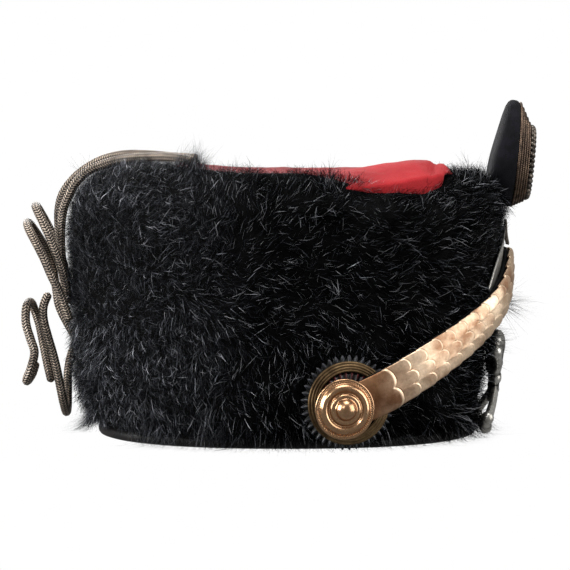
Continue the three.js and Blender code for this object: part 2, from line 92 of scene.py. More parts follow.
# Shared helpers for meshes
def storeValues(item, name, values):
    layer = item.data.attributes.new(name, "FLOAT", "POINT")
    layer.data.foreach_set("value", np.ascontiguousarray(values, dtype=np.float32))


def newObject(name, verts, faces, material=None, uvs=None):
    mesh = bpy.data.meshes.new(name)
    mesh.from_pydata([tuple(v) for v in verts], [], [tuple(f) for f in faces])
    if uvs is not None:
        mesh.uv_layers.new(name="UVMap").data.foreach_set("uv", cornerValues(mesh, uvs).ravel())
    mesh.shade_smooth()
    if material:
        mesh.materials.append(material)
    return addObject(name, mesh)


# The vertices' values, once for each face's corner
def cornerValues(mesh, values):
    corners = np.empty(len(mesh.loops), dtype=np.int32)
    mesh.loops.foreach_get("vertex_index", corners)
    return np.asarray(values, dtype=np.float32)[corners]


def readVertices(item, key="co"):
    values = np.empty(len(item.data.vertices) * 3)
    item.data.vertices.foreach_get(key, values)
    return values.reshape(-1, 3)


def moveVertices(item, points):
    item.data.vertices.foreach_set("co", points.ravel())


def ringAngles(count):
    return np.arange(count) / count * 2 * math.pi


def gridFaces(rows, columns, closedRows=False, closedColumns=False):
    faces = []
    for r in range(rows if closedRows else rows - 1):
        for c in range(columns if closedColumns else columns - 1):
            r2, c2 = (r + 1) % rows, (c + 1) % columns
            faces.append((r * columns + c, r * columns + c2, r2 * columns + c2, r2 * columns + c))
    return faces


def applyModifiers(item):
    bpy.context.view_layer.update()
    graph = bpy.context.evaluated_depsgraph_get()
    mesh = bpy.data.meshes.new_from_object(item.evaluated_get(graph))
    item.modifiers.clear()
    item.data = mesh
    return item


# Turns every face outward, mostly once the doubles are merged
def outward(item, merge=True):
    work = bmesh.new()
    work.from_mesh(item.data)
    if merge:
        bmesh.ops.remove_doubles(work, verts=work.verts, dist=1e-6)
    bmesh.ops.recalc_face_normals(work, faces=work.faces)
    work.to_mesh(item.data)
    work.free()
    return item


# A skin becomes a wall. An offset of 1 thickens it outward, 0 to both sides
def thicken(item, thickness, offset):
    solid = item.modifiers.new("thickness", "SOLIDIFY")
    solid.thickness = thickness * mm
    solid.offset = offset
    applyModifiers(item)
    outward(item)
    item.data.shade_smooth()


def finishPiece(item, slotName, *nodes):
    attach(item, "root")
    if nodes:
        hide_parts(*nodes)
    return item


# A smooth line or table through the rows, which are vectors or arrays
def smoothTable(rows, steps):
    ends = [rows[0] * 2 - rows[1], *rows, rows[-1] * 2 - rows[-2]]
    out = []
    for i in range(1, len(ends) - 2):
        a, b, c, d = ends[i - 1:i + 3]
        for s in range(steps):
            t = s / steps
            out.append(0.5 * ((2 * b) + (c - a) * t + (2 * a - 5 * b + 4 * c - d) * t * t
                              + (3 * b - a - 3 * c + d) * t ** 3))
    out.append(rows[-1])
    return np.array(out)


# Points at even steps along a line, with their distance from its start
def resample(line, step):
    pts = np.array(line)
    gaps = np.linalg.norm(np.diff(pts, axis=0), axis=1)
    along = np.concatenate([[0], np.cumsum(gaps)])
    count = max(2, int(round(along[-1] / step)) + 1)
    wanted = np.linspace(0, along[-1], count)
    even = np.stack([np.interp(wanted, along, pts[:, k]) for k in range(3)], axis=1)
    return even, wanted


# Along, side and up at each point, without twist
def lineFrames(points, closed=False):
    count = len(points)
    before = np.roll(points, 1, axis=0) if closed else np.vstack([points[:1], points[:-1]])
    after = np.roll(points, -1, axis=0) if closed else np.vstack([points[1:], points[-1:]])
    along = after - before
    along /= np.linalg.norm(along, axis=1, keepdims=True)
    side = np.zeros_like(points)
    guess = np.array([0, 0, 1.0]) if abs(along[0][2]) < 0.8 else np.array([0, 1.0, 0])
    for i in range(count):
        guess = guess - along[i] * np.dot(guess, along[i])
        guess /= np.linalg.norm(guess)
        side[i] = guess
    return along, side, np.cross(along, side)


# Shader helpers
def nodeTree(name):
    material = bpy.data.materials.new(name)
    material.use_nodes = True
    tree = material.node_tree
    return material, tree, tree.nodes["Principled BSDF"]


# Keywords are a node's own settings or else the values of its sockets
def addNode(tree, kind, **values):
    node = tree.nodes.new(kind)
    for key, value in values.items():
        if hasattr(node, key):
            setattr(node, key, value)
        else:
            node.inputs[key].default_value = value
    return node


def setSockets(node, values):
    for key, value in values.items():
        node.inputs[key].default_value = value


# A socket takes either another node's output or a value
def connect(tree, socket, value):
    if hasattr(value, "is_output"):
        tree.links.new(value, socket)
    else:
        socket.default_value = value


def ramp(tree, source, stops):
    node = tree.nodes.new("ShaderNodeValToRGB")
    elements = node.color_ramp.elements
    while len(elements) < len(stops):
        elements.new(0.5)
    for element, (position, color) in zip(elements, stops):
        element.position = position
        element.color = (*color, 1) if len(color) == 3 else color
    tree.links.new(source, node.inputs["Fac"])
    return node.outputs["Color"]


def noiseOn(tree, vector, scale, detail=3.0, roughness=0.5):
    node = addNode(tree, "ShaderNodeTexNoise", Scale=scale, Detail=detail, Roughness=roughness)
    tree.links.new(vector, node.inputs["Vector"])
    return node


def mixColors(tree, mode, factor, a, b):
    node = addNode(tree, "ShaderNodeMix", data_type="RGBA", blend_type=mode)
    for index, value in ((0, factor), (6, a), (7, b)):
        connect(tree, node.inputs[index], value)
    return node.outputs[2]


def bumpFrom(tree, height, strength, distance, shader):
    node = addNode(tree, "ShaderNodeBump", Strength=strength, Distance=distance)
    tree.links.new(height, node.inputs["Height"])
    tree.links.new(node.outputs["Normal"], shader.inputs["Normal"])


def coordinatesOf(tree, kind="Object"):
    return tree.nodes.new("ShaderNodeTexCoord").outputs[kind]


def splitVector(tree, vector):
    node = tree.nodes.new("ShaderNodeSeparateXYZ")
    tree.links.new(vector, node.inputs[0])
    return node.outputs


def calc(tree, operation, *values):
    node = addNode(tree, "ShaderNodeMath", operation=operation)
    for socket, value in zip(node.inputs, values):
        connect(tree, socket, value)
    return node.outputs[0]


def makeAgedGroup():
    tree = bpy.data.node_groups.new("agedSurface", "ShaderNodeTree")
    for name, kind in (("Vector", "Vector"), ("Dark", "Color"), ("Light", "Color"), ("Patch Scale", "Float"),
                       ("Grain Scale", "Float"), ("Grain Depth", "Float")):
        tree.interface.new_socket(name, in_out="INPUT", socket_type="NodeSocket" + kind)
    for name, kind in (("Color", "Color"), ("Patches", "Float"), ("Grain", "Float")):
        tree.interface.new_socket(name, in_out="OUTPUT", socket_type="NodeSocket" + kind)
    start, end = tree.nodes.new("NodeGroupInput"), tree.nodes.new("NodeGroupOutput")
    patches = noiseOn(tree, start.outputs["Vector"], 1.0, 4.0, 0.55)
    grain = noiseOn(tree, start.outputs["Vector"], 1.0, 3.0, 0.65)
    tree.links.new(start.outputs["Patch Scale"], patches.inputs["Scale"])
    tree.links.new(start.outputs["Grain Scale"], grain.inputs["Scale"])
    mask = ramp(tree, patches.outputs["Fac"], [(0.34, (0, 0, 0)), (0.64, (1, 1, 1))])
    fine = ramp(tree, grain.outputs["Fac"], [(0.32, (0, 0, 0)), (0.62, (1, 1, 1))])
    depth = start.outputs["Grain Depth"]
    shade = calc(tree, "MULTIPLY_ADD", fine, depth, calc(tree, "SUBTRACT", 1.0, depth))
    base = mixColors(tree, "MIX", mask, start.outputs["Dark"], start.outputs["Light"])
    tree.links.new(mixColors(tree, "MULTIPLY", 1.0, base, shade), end.inputs["Color"])
    tree.links.new(mask, end.inputs["Patches"])
    tree.links.new(grain.outputs["Fac"], end.inputs["Grain"])
    return tree


agedSurface = makeAgedGroup()  # two tones in patches under a fine grain, for metal, cloth and leather


def agedMaterial(name, dark, light, patch, grain, grainDepth, roughness, metallic=0.0, specular=0.5,
                 sheen=0.0, bump=0.2, byRelief=None, edge=None, paintedShadeAlongX=None):
    material, tree, shader = nodeTree(name)
    coordinates = coordinatesOf(tree)
    aged = tree.nodes.new("ShaderNodeGroup")
    aged.node_tree = agedSurface
    tree.links.new(coordinates, aged.inputs["Vector"])
    setSockets(aged, {"Dark": (*dark, 1), "Light": (*light, 1), "Patch Scale": patch, "Grain Scale": grain,
                      "Grain Depth": grainDepth})
    color = aged.outputs["Color"]
    relief = addNode(tree, "ShaderNodeAttribute", attribute_name="relief").outputs["Fac"]
    if byRelief:  # a tone for how far a thread, fold or face stands up
        color = mixColors(tree, "MULTIPLY", 1.0, color, ramp(tree, relief, byRelief))
    if paintedShadeAlongX:  # painted shade: a tone that darkens toward the cap's rear
        scale, offset, stops = paintedShadeAlongX
        along = ramp(tree, calc(tree, "MULTIPLY_ADD", splitVector(tree, coordinates)[0], scale, offset),
                     stops)
        color = mixColors(tree, "MULTIPLY", 1.0, color, along)
    if edge:  # painted highlight along the raised edges
        color = mixColors(tree, "MIX", ramp(tree, relief, [(0.8, (0, 0, 0)), (1.0, (0.75,) * 3)]), color,
                          (*edge, 1))
    tree.links.new(color, shader.inputs["Base Color"])
    rough = calc(tree, "MULTIPLY_ADD", aged.outputs["Patches"], roughness[1] - roughness[0], roughness[0])
    tree.links.new(rough, shader.inputs["Roughness"])
    setSockets(shader, {"Metallic": metallic, "Specular IOR Level": specular, "Sheen Weight": sheen})
    bumpFrom(tree, aged.outputs["Grain"], bump, 0.0003, shader)
    return material


# Cap lines and hanging cords: the routes of the cap's own cords, in millimetres
cordSize = {"diameter": 5.2, "step": 0.9, "sides": 16, "stepsPerSpan": 10, "endLength": 2.2}
braid = {"chevrons": 8.0, "pitch": 0.62, "slant": 0.8, "relief": 0.22}
cordRoutes = {
    "cap_line_near": ((
        (-52, -66, 156), (-66, -52, 158), (-81, -38, 158), (-95, -27, 157), (-106.5, -20, 154),
        (-115, -17, 150.5),
        (-122, -15, 144.5), (-126.5, -14, 137), (-130, -13, 129), (-131.6, -12, 120), (-132, -11, 110),
        (-131.6, -10, 100), (-131, -9, 91), (-129.8, -8, 82), (-128.6, -8, 74)), "loose"),
    "cap_line_far": ((
        (-52, -52, 157.4), (-66, -40, 158.4), (-81, -28, 159.6), (-95, -18, 159.6), (-107, -12, 157),
        (-117, -9, 152),
        (-125, -7, 145.5), (-131, -5.5, 137.5), (-133.6, -4, 129), (-134, -3, 120), (-133.4, -1.5, 110),
        (-132.6, 0, 100), (-132, 2, 91), (-130.2, 4, 82), (-127.4, 5, 75)), "loose"),
    "loop_upper": ((
        (-128.4, 12.6, 72), (-130.4, 13.4, 84), (-133, 13.6, 96), (-137, 13.4, 108), (-142, 11, 119),
        (-146, 5, 127.4), (-147, -3, 130), (-145.6, -11, 128), (-142, -16, 121.5), (-138, -18.6, 113.5),
        (-134.6, -19.6, 105), (-131.6, -19.6, 97), (-129.2, -19, 88),
        (-127.7, -18, 79)), "hanging"),
    "loop_lower": ((
        (-125.2, 24, 49), (-130.8, 24.4, 58), (-136.6, 24, 70), (-138.4, 22, 82), (-140, 18, 94),
        (-144, 13, 106),
        (-149, 5, 116), (-151.6, -4, 120.4), (-150, -14, 117), (-145, -21, 109), (-140, -25, 100),
        (-136, -26.6, 91), (-131.6, -27, 82), (-128.4, -26.6, 73), (-125.4, -26, 65)), "hanging"),
    "long_strand": ((
        (-139.6, -6, 80), (-142.6, -7, 72), (-142.4, -8, 64), (-140, -9, 55), (-137, -10, 45),
        (-134.6, -10, 35),
        (-133, -9, 26), (-131.6, -6, 17), (-130.8, 0, 11), (-130.8, 7, 9.6), (-131, 14, 13),
        (-131.2, 17.6, 22),
        (-131, 18, 32), (-129, 17.4, 42), (-125.6, 16.4, 50)), "hanging"),
    "small_loop": ((
        (-138.1, -6.6, 28), (-140.8, -3.4, 38), (-143.4, 0, 49), (-146, 3.4, 60), (-148.6, 2, 69),
        (-150.4, -4, 74.4),
        (-152, -11, 72), (-152, -14, 63), (-149.4, -15, 54), (-147, -16, 46), (-149, -17, 37),
        (-151.6, -14, 31),
        (-152, -8, 29), (-149.6, -3.6, 33), (-147.4, -4, 40)), "hanging"),
}


# Silver threads braided in a chevron, tarnished, with painted shade in the grooves between the yarns and a
# painted highlight on their crests
def cordMaterial():
    material, tree, shader = nodeTree("braidedCord")
    along, around = splitVector(tree, coordinatesOf(tree, "UV"))[:2]  # in millimetres, and from 0 to 1
    zigzag = calc(tree, "PINGPONG", calc(tree, "MULTIPLY", around, braid["chevrons"]), 1.0)
    run = calc(tree, "MULTIPLY", along, braid["pitch"])
    slanted = calc(tree, "ADD", run, calc(tree, "MULTIPLY", zigzag, braid["slant"]))
    yarn = calc(tree, "PINGPONG", slanted, 0.5)
    ridge = calc(tree, "MULTIPLY", yarn, 2.0)
    lengthwise = calc(tree, "SINE", calc(tree, "MULTIPLY", zigzag, math.pi))
    height = calc(tree, "MULTIPLY", ridge, calc(tree, "ADD", calc(tree, "MULTIPLY", lengthwise, 0.6), 0.4))
    stain = noiseOn(tree, coordinatesOf(tree), 90.0, 3.0)
    patches = ramp(tree, stain.outputs["Fac"], [(0.36, (0.4, 0.36, 0.33)), (0.6, (1.0, 0.96, 0.9))])
    # painted shade in the braid's grooves and painted highlight on the yarns' crests, keyed to the braid's
    # height
    yarnShadeAndHighlight = ramp(tree, height, [(0.2, (0.003, 0.0025, 0.0025)), (0.42, (0.2, 0.165, 0.135)),
                    (0.72, (0.95, 0.84, 0.73))])
    color = mixColors(tree, "MULTIPLY", 0.85, yarnShadeAndHighlight, patches)
    speck = noiseOn(tree, coordinatesOf(tree), 1400.0, 2.0)
    specks = ramp(tree, speck.outputs["Fac"], [(0.5, (0.55, 0.52, 0.5)), (0.7, (1.5, 1.45, 1.4))])
    tree.links.new(mixColors(tree, "MULTIPLY", 0.8, color, specks), shader.inputs["Base Color"])
    setSockets(shader, {"Roughness": 0.42, "Metallic": 0.15})
    bumpFrom(tree, height, 0.9, 0.0006, shader)
    return material


# A tube along a line. radiusAt(distance, angle) gives its surface. UV counts millimetres along it.
def tubeMesh(name, line, radiusAt, material, step, sides, endLength):
    points, along = resample(line, step)
    _, side, up = lineFrames(points)
    total = along[-1]
    verts, uvs = [], []
    for point, s, a, b in zip(points, along, side, up):
        near = min(s, total - s) / endLength
        taper = math.sqrt(max(0.04, 1 - (1 - min(near, 1)) ** 2))
        for angle in ringAngles(sides):
            verts.append(point + (a * math.cos(angle) + b * math.sin(angle)) * radiusAt(s, angle) * taper)
            uvs.append((s / mm, angle / (2 * math.pi)))
    faces = [f[::-1] for f in gridFaces(len(points), sides, closedColumns=True)]
    faces.append(tuple(range(sides)))
    faces.append(tuple(reversed(range(len(verts) - sides, len(verts)))))
    item = newObject(name, verts, faces, material)
    table = cornerValues(item.data, uvs)
    for polygon in item.data.polygons:  # the seam's faces run past 1 instead of back to 0
        span = slice(polygon.loop_start, polygon.loop_start + polygon.loop_total)
        if polygon.loop_total == 4 and table[span, 1].max() > 0.9:
            table[span, 1] = np.where(table[span, 1] < 0.5, table[span, 1] + 1, table[span, 1])
    item.data.uv_layers.new(name="UVMap").data.foreach_set("uv", table.ravel())
    return item


# The braid's relief: ridges that meet in chevrons
def braidRadius(distance, angle):
    zigzag = abs((angle / (2 * math.pi) * braid["chevrons"] + 1) % 2 - 1)
    slanted = distance / mm * braid["pitch"] + zigzag * braid["slant"]
    ridge = abs((slanted + 0.5) % 1 - 0.5) * 2
    swell = braid["relief"] * ridge * math.sin(math.pi * min(max(zigzag, 0.1), 0.9))
    return (cordSize["diameter"] / 2 * 0.95 + swell) * mm


def makeCords():
    material = cordMaterial()
    for name, (route, lay) in cordRoutes.items():
        points = [place(*p) for p in route]
        line = smoothTable(points, cordSize["stepsPerSpan"])
        item = tubeMesh(name + "Braid", line, braidRadius, material, cordSize["step"] * mm,
                        cordSize["sides"], cordSize["endLength"] * mm)
        finishPiece(item, "cord", name)


makeCords()
print("cords made")


# Fur: a skin with clumps, and strands set on it that follow its flow
ovalPower = 2.3  # how square the cap's oval plan is
furSkin = {"around": 260, "stepsPerRow": 6, "rise": 5.0, "clump": 1.5, "smallClump": 0.7, "below": 1.4,
           "dipDepth": 8.0, "dipFrom": 36, "dipTo": 80}
furRows = (  # height, back, front, half width
    (6.4, -107, 103, 90), (6.0, -111.5, 107.5, 94.6), (17, -119, 109.5, 99.5), (36, -123.5, 112.5, 102.5),
    (60, -124.5, 116, 102.8), (90, -126, 119.5, 103), (122, -126, 123, 102), (134, -121, 122.5, 98.5),
    (143, -112, 118, 92), (148.4, -101, 111, 85.5), (149, -95, 105, 79.5), (145.5, -90, 98.5, 74.2),
    (140.5, -89.6, 97.6, 73.6))
furInner = ((140.5, -100.3, 101.3, 81.3), (125, -110.3, 110.3, 90.3), (36, -111.3, 103.8, 91.3),
            (6.5, -106.4, 102.8, 89.3))


def smoothStep(low, high, value):
    share = np.clip((np.asarray(value, dtype=float) - low) / (high - low), 0, 1)
    return share * share * (3 - 2 * share)


# Points of the cap's oval plan, in millimetres from its middle
def ovalAt(row, angles):
    z, back, front, half = row[:4]
    cosines, sines = np.cos(angles), np.sin(angles)
    reach = (np.abs(cosines) ** ovalPower + np.abs(sines) ** ovalPower) ** (-1 / ovalPower)
    x = (front + back) / 2 + (front - back) / 2 * reach * cosines
    return np.stack([x, half * reach * sines, np.full_like(x, z)], axis=1)


def rearRise(x, z):
    return furSkin["rise"] * smoothStep(20, 85, -x) * smoothStep(118, 146, z)


# The fur stands higher at the rear and dips on the right where the bag swells
def raiseBack(points):
    x, y, z = points[:, 0], points[:, 1], points[:, 2]
    edges = smoothStep(furSkin["dipFrom"] - 34, furSkin["dipFrom"] + 14, x)
    edges *= 1 - smoothStep(furSkin["dipTo"] - 8, furSkin["dipTo"] + 14, x)
    dip = furSkin["dipDepth"] * edges * smoothStep(30, 60, -y) * smoothStep(128, 145, z)
    points[:, 2] = z + rearRise(x, z) - dip
    return points


def noiseValues(points, scale, seed=0.0):
    return np.array([noise.noise(Vector((p[0] * scale + seed, p[1] * scale, p[2] * scale))) for p in points])


def makeFurSkin(material):
    angles = ringAngles(furSkin["around"])
    outer = smoothTable(np.array(furRows, dtype=float), furSkin["stepsPerRow"])
    rings = []
    for index, row in enumerate([*outer, *furInner]):
        ring = raiseBack(ovalAt(row, angles)) if index < len(outer) else ovalAt(row, angles)
        if 4 < index < len(outer) - 8:
            away = ring.copy()
            away[:, 2] = 0
            away /= np.linalg.norm(away, axis=1, keepdims=True)
            swell = noiseValues(ring, 0.045, 3.0) * furSkin["clump"]
            swell += noiseValues(ring, 0.15, 8.0) * furSkin["smallClump"]
            ring = ring + away * (swell - furSkin["below"])[:, None]
        rings.append(ring)
    faces = gridFaces(len(rings), furSkin["around"], True, True)
    return outward(newObject("furSkin", toCap(np.concatenate(rings)), faces, material))


furStrands = {"sectors": 5, "perSquareMetre": 2.95e5, "length": 7.8, "width": 0.15, "perClump": 7,
              "kinds": 8, "spread": 1.9, "lift": 0.38, "stray": 0.72}
tufts = (  # root, way, length, spread of the roots, strands
    ((117.5, -15, 75), (1, -0.1, -0.15), 19, 2.6, 170), ((118, -16, 79), (1, -0.2, 0.1), 14, 3, 60),
    ((-30, -74, 148), (0.35, 0.1, 1), 9, 4, 60), ((-52, -72, 149), (0.2, -0.05, 1), 12, 6, 520),
    ((-59, -70, 150), (0.5, 0.1, 0.8), 11, 7, 480),
    ((109, -41, 57), (1, 0.2, -0.1), 12, 8, 240),
    ((22, -76, 146), (0.5, 0.2, 1), 10, 4, 60), ((104, -22, 146), (-0.45, -0.1, 1), 15, 2.5, 26),
    ((109, -25, 147), (0.1, -0.25, 1), 12, 2.4, 30), ((-116, -28, 146), (-0.3, -0.1, 1), 9, 5, 60),
    ((99, -40, 148), (-0.1, 0, 1), 8, 5, 60), ((108, -42, 62), (0.9, -0.2, -0.5), 10, 4, 90),
    ((109, -43, 44), (0.8, -0.2, -0.6), 9, 4, 90))


hemTufts = {"row": (9, -115, 108, 96.3), "count": 260, "strands": 22, "length": 15, "spread": 3.4,
            "out": 0.7}


# A few curved ribbons that grow along Z from near one root
def makeClump(name, seed):
    rng = np.random.default_rng(seed)
    verts, faces, own = [], [], []
    shape = ((0.0, 0.8), (0.55, 1.0), (1.0, 0.0))
    for _ in range(furStrands["perClump"]):
        root = rng.normal(0, furStrands["spread"], 2)
        lean = rng.normal(0, 0.16, 2)
        curl = rng.normal(0, 0.14)
        reach = rng.uniform(0.62, 1.12)
        roll = rng.uniform(-1.1, 1.1)
        across = np.array([math.sin(roll), math.cos(roll),
                           0]) * furStrands["width"] / 2 * rng.uniform(0.7, 1.25)
        first = len(verts)
        for share, width in shape:
            z = share * reach * furStrands["length"]
            arch = furStrands["length"] * 0.16 * math.sin(math.pi * share * 0.9)
            middle = np.array([root[0] * 0.6 + lean[0] * z - arch * 0.4 + arch, root[1] + lean[1] * z
                               + curl * z * share, z])
            verts.append(middle - across * width)
            if width:
                verts.append(middle + across * width)
        for i in range(len(shape) - 2):
            a = first + 2 * i
            faces.append((a, a + 1, a + 3, a + 2))
        a = first + 2 * (len(shape) - 2)
        faces.append((a, a + 1, a + 2))
        own += [rng.uniform()] * (len(verts) - first)
    item = newObject(name, np.array(verts) * mm, faces)
    storeValues(item, "own", own)
    return item


# The hair's way in the side view, in radians: 0 is toward the front, and up is more
furWay = {"rear": 0.42, "rearDrop": 1.35, "front": 0.25, "frontDrop": 1.1, "crown": 1.1, "hem": -1.35}


def furFlow(x, z):
    back = 1 - smoothStep(-70, 10, x)
    rear = furWay["rear"] - furWay["rearDrop"] * (1 - smoothStep(50, 98, z))
    front = furWay["front"] - furWay["frontDrop"] * (1 - smoothStep(30, 120, z))
    angle = rear * back + (1 - back) * front
    edge = smoothStep(136, 150, z)
    angle = angle * (1 - edge) + edge * furWay["crown"]
    hem = 1 - smoothStep(8, 26, z)
    return angle * (1 - hem) + hem * furWay["hem"]


# Glossy black hair, a little blue where it catches light, with painted glints: a few strands get a light
# base colour, and the rear of the coat a painted sheen
def furMaterial(name, skin):
    material, tree, shader = nodeTree(name)
    patches = noiseOn(tree, coordinatesOf(tree), 60.0, 3.0)
    dark = ramp(tree, patches.outputs["Fac"],
                [(0.3, (0.0004, 0.0004, 0.0005)), (0.7, (0.0014, 0.0014, 0.0018))])
    if skin:
        tree.links.new(dark, shader.inputs["Base Color"])
        setSockets(shader, {"Roughness": 0.9, "Specular IOR Level": 0.1})
        return material
    clump = addNode(tree, "ShaderNodeAttribute", attribute_name="tone")
    own = addNode(tree, "ShaderNodeAttribute", attribute_name="own")
    tone = calc(tree, "FRACT", calc(tree, "ADD", clump.outputs["Fac"], own.outputs["Fac"]))
    # painted glints: the few strands with the highest tone get a light base colour
    light = ramp(tree, tone, [(0.0, (0.0, 0.0, 0.0)), (0.88, (0.0008, 0.0008, 0.001)),
                              (0.95, (0.045, 0.047, 0.054)), (1.0, (0.36, 0.36, 0.38))])
    steps = ((0.0, 0.0), (0.86, 0.003), (0.93, 0.5), (0.98, 1.0))
    gloss = ramp(tree, tone, [(position, (value,) * 3) for position, value in steps])
    forward = splitVector(tree, coordinatesOf(tree))[0]
    rear = ramp(tree, calc(tree, "MULTIPLY_ADD", forward, 8.0, 0.9), [(0.1, (1, 1, 1)), (0.72, (0, 0, 0))])
    # painted sheen: a lighter base colour toward the cap's rear, added as rearLight
    sheen = ramp(tree, tone, [(0.0, (0.0001, 0.0001, 0.0002)), (0.6, (0.0025, 0.0027, 0.0034)),
                              (1.0, (0.15, 0.158, 0.178))])
    rearLight = mixColors(tree, "MULTIPLY", 1.0, sheen, rear)
    tree.links.new(mixColors(tree, "ADD", 1.0, mixColors(tree, "ADD", 1.0, dark, light), rearLight),
                   shader.inputs["Base Color"])
    rearGloss = mixColors(tree, "MULTIPLY", 1.0, rear, (0.1, 0.1, 0.1, 1))
    tree.links.new(mixColors(tree, "ADD", 1.0, gloss, rearGloss), shader.inputs["Specular IOR Level"])
    setSockets(shader, {"Roughness": 0.3, "Specular Tint": (0.85, 0.92, 1.0, 1)})
    return material


# The plain arched band at the front, for which the hair makes room
scroll = {"halfWidth": 45, "top": 113, "sag": 32, "halfBand": 5.5, "curlFrom": 0.82, "curl": 0.8,
          "offFur": 0.9,
          "thickness": 0.9}


# Where strands may grow: not under the cockades, straps, badges or cloth
def furCover(x, y, z):
    cover = np.ones_like(x)
    cover *= smoothStep(18, 22, np.hypot(x - 30.3, z - 26.4) + 100 * (np.abs(y) < 60))
    cover *= 1 - (np.abs(y) < 17) * (x > 90) * (z > 133)
    front = 44 - 0.8 * np.maximum(0, 112 - z) + 0.6 * np.maximum(0, z - 112)
    cover *= 1 - smoothStep(92, 94, y) * (x > -60 + 0.35 * np.maximum(0, 80 - z)) * (x < front) * (z > 30)
    cover *= 1 - (y > 60) * (x > -70) * (x < 72) * (z > 130)
    front = smoothStep(92, 104, x)
    skull = front * (np.abs(y) < 36) * (z < 60)
    middle = scroll["top"] - scroll["sag"] * (y / scroll["halfWidth"]) ** 2
    band = front * (np.abs(z - middle) < 7) * (np.abs(y) < scroll["halfWidth"] + 2)
    cover *= 1 - 0.85 * np.maximum(skull, band)
    return cover


def linkNodes(tree, *pairs):
    for start, end in pairs:
        tree.links.new(start, end)


# Points on the faces, a clump on each, turned along the flow and lifted off the skin
def strandTree(clumps, material):
    tree = bpy.data.node_groups.new("furStrands", "GeometryNodeTree")
    for name, kind in (("Geometry", "Geometry"), ("Density", "Float"), ("Lift", "Float"), ("Stray", "Float"),
                       ("Seed", "Int")):
        tree.interface.new_socket(name, in_out="INPUT", socket_type="NodeSocket" + kind)
    tree.interface.new_socket("Geometry", in_out="OUTPUT", socket_type="NodeSocketGeometry")
    start = tree.nodes.new("NodeGroupInput")
    end = tree.nodes.new("NodeGroupOutput")

    def make(kind, **values):
        return addNode(tree, kind, **values)

    def attribute(name, kind):
        node = make("GeometryNodeInputNamedAttribute", data_type=kind)
        setSockets(node, {"Name": name})
        return node.outputs["Attribute"]

    def randomValue(kind, low, high, offset):
        node = make("FunctionNodeRandomValue", data_type=kind)
        sockets = {item.name: item for item in node.inputs if item.enabled}
        sockets["Min"].default_value = low
        sockets["Max"].default_value = high
        add = make("ShaderNodeMath", operation="ADD")
        add.inputs[1].default_value = offset
        linkNodes(tree, (start.outputs["Seed"], add.inputs[0]), (add.outputs[0], sockets["Seed"]))
        return next(item for item in node.outputs if item.enabled)

    def scaled(vector, amount):
        node = make("ShaderNodeVectorMath", operation="SCALE")
        linkNodes(tree, (vector, node.inputs[0]), (amount, node.inputs["Scale"]))
        return node.outputs[0]

    def added(a, b):
        node = make("ShaderNodeVectorMath", operation="ADD")
        linkNodes(tree, (a, node.inputs[0]), (b, node.inputs[1]))
        return node.outputs[0]

    amount = make("ShaderNodeMath", operation="MULTIPLY")
    spread = make("GeometryNodeDistributePointsOnFaces", distribute_method="RANDOM")
    linkNodes(tree, (start.outputs["Density"], amount.inputs[0]),
              (attribute("cover", "FLOAT"), amount.inputs[1]),
              (start.outputs["Geometry"], spread.inputs["Mesh"]),
              (amount.outputs[0], spread.inputs["Density"]),
              (start.outputs["Seed"], spread.inputs["Seed"]))
    stray = scaled(randomValue("FLOAT_VECTOR", (-1, -1, -1), (1, 1, 1), 1), start.outputs["Stray"])
    lift = scaled(spread.outputs["Normal"], start.outputs["Lift"])
    way = added(added(attribute("flow", "FLOAT_VECTOR"), lift), stray)
    along = make("FunctionNodeAlignRotationToVector", axis="Z")
    facing = make("FunctionNodeAlignRotationToVector", axis="X", pivot_axis="Z")
    instances = make("GeometryNodeInstanceOnPoints")
    setSockets(instances, {"Pick Instance": True})
    source = make("GeometryNodeCollectionInfo")
    setSockets(source, {"Collection": clumps, "Separate Children": True, "Reset Children": True})
    size = make("ShaderNodeMath", operation="MULTIPLY")
    store = make("GeometryNodeStoreNamedAttribute", data_type="FLOAT", domain="INSTANCE")
    setSockets(store, {"Name": "tone"})
    realize = make("GeometryNodeRealizeInstances")
    paint = make("GeometryNodeSetMaterial")
    setSockets(paint, {"Material": material})
    linkNodes(tree, (way, along.inputs["Vector"]), (along.outputs[0], facing.inputs["Rotation"]),
              (spread.outputs["Normal"], facing.inputs["Vector"]),
              (spread.outputs["Points"], instances.inputs["Points"]),
              (source.outputs[0], instances.inputs["Instance"]),
              (randomValue("INT", 0, furStrands["kinds"] - 1, 2), instances.inputs["Instance Index"]),
              (facing.outputs[0], instances.inputs["Rotation"]),
              (attribute("reach", "FLOAT"), size.inputs[0]),
              (randomValue("FLOAT", 0.6, 1.2, 3), size.inputs[1]),
              (size.outputs[0], instances.inputs["Scale"]), (instances.outputs[0], store.inputs["Geometry"]),
              (randomValue("FLOAT", 0.0, 1.0, 4), store.inputs["Value"]),
              (store.outputs[0], realize.inputs[0]),
              (realize.outputs[0], paint.inputs["Geometry"]), (paint.outputs[0], end.inputs[0]))
    return tree


def setInputs(modifier, **values):
    for item in modifier.node_group.interface.items_tree:
        if item.item_type == "SOCKET" and item.in_out == "INPUT" and item.name in values:
            modifier[item.identifier] = values[item.name]


# Hair that would hang below the rim bends outward on the table
def layOnTable(item):
    verts = readVertices(item)
    below = np.maximum(0, 0.0003 - verts[:, 2])
    away = verts[:, :2] - np.array([capX, 0])
    away /= np.maximum(np.linalg.norm(away, axis=1, keepdims=True), 1e-6)
    verts[:, :2] += away * below[:, None]
    verts[:, 2] += below
    moveVertices(item, verts)


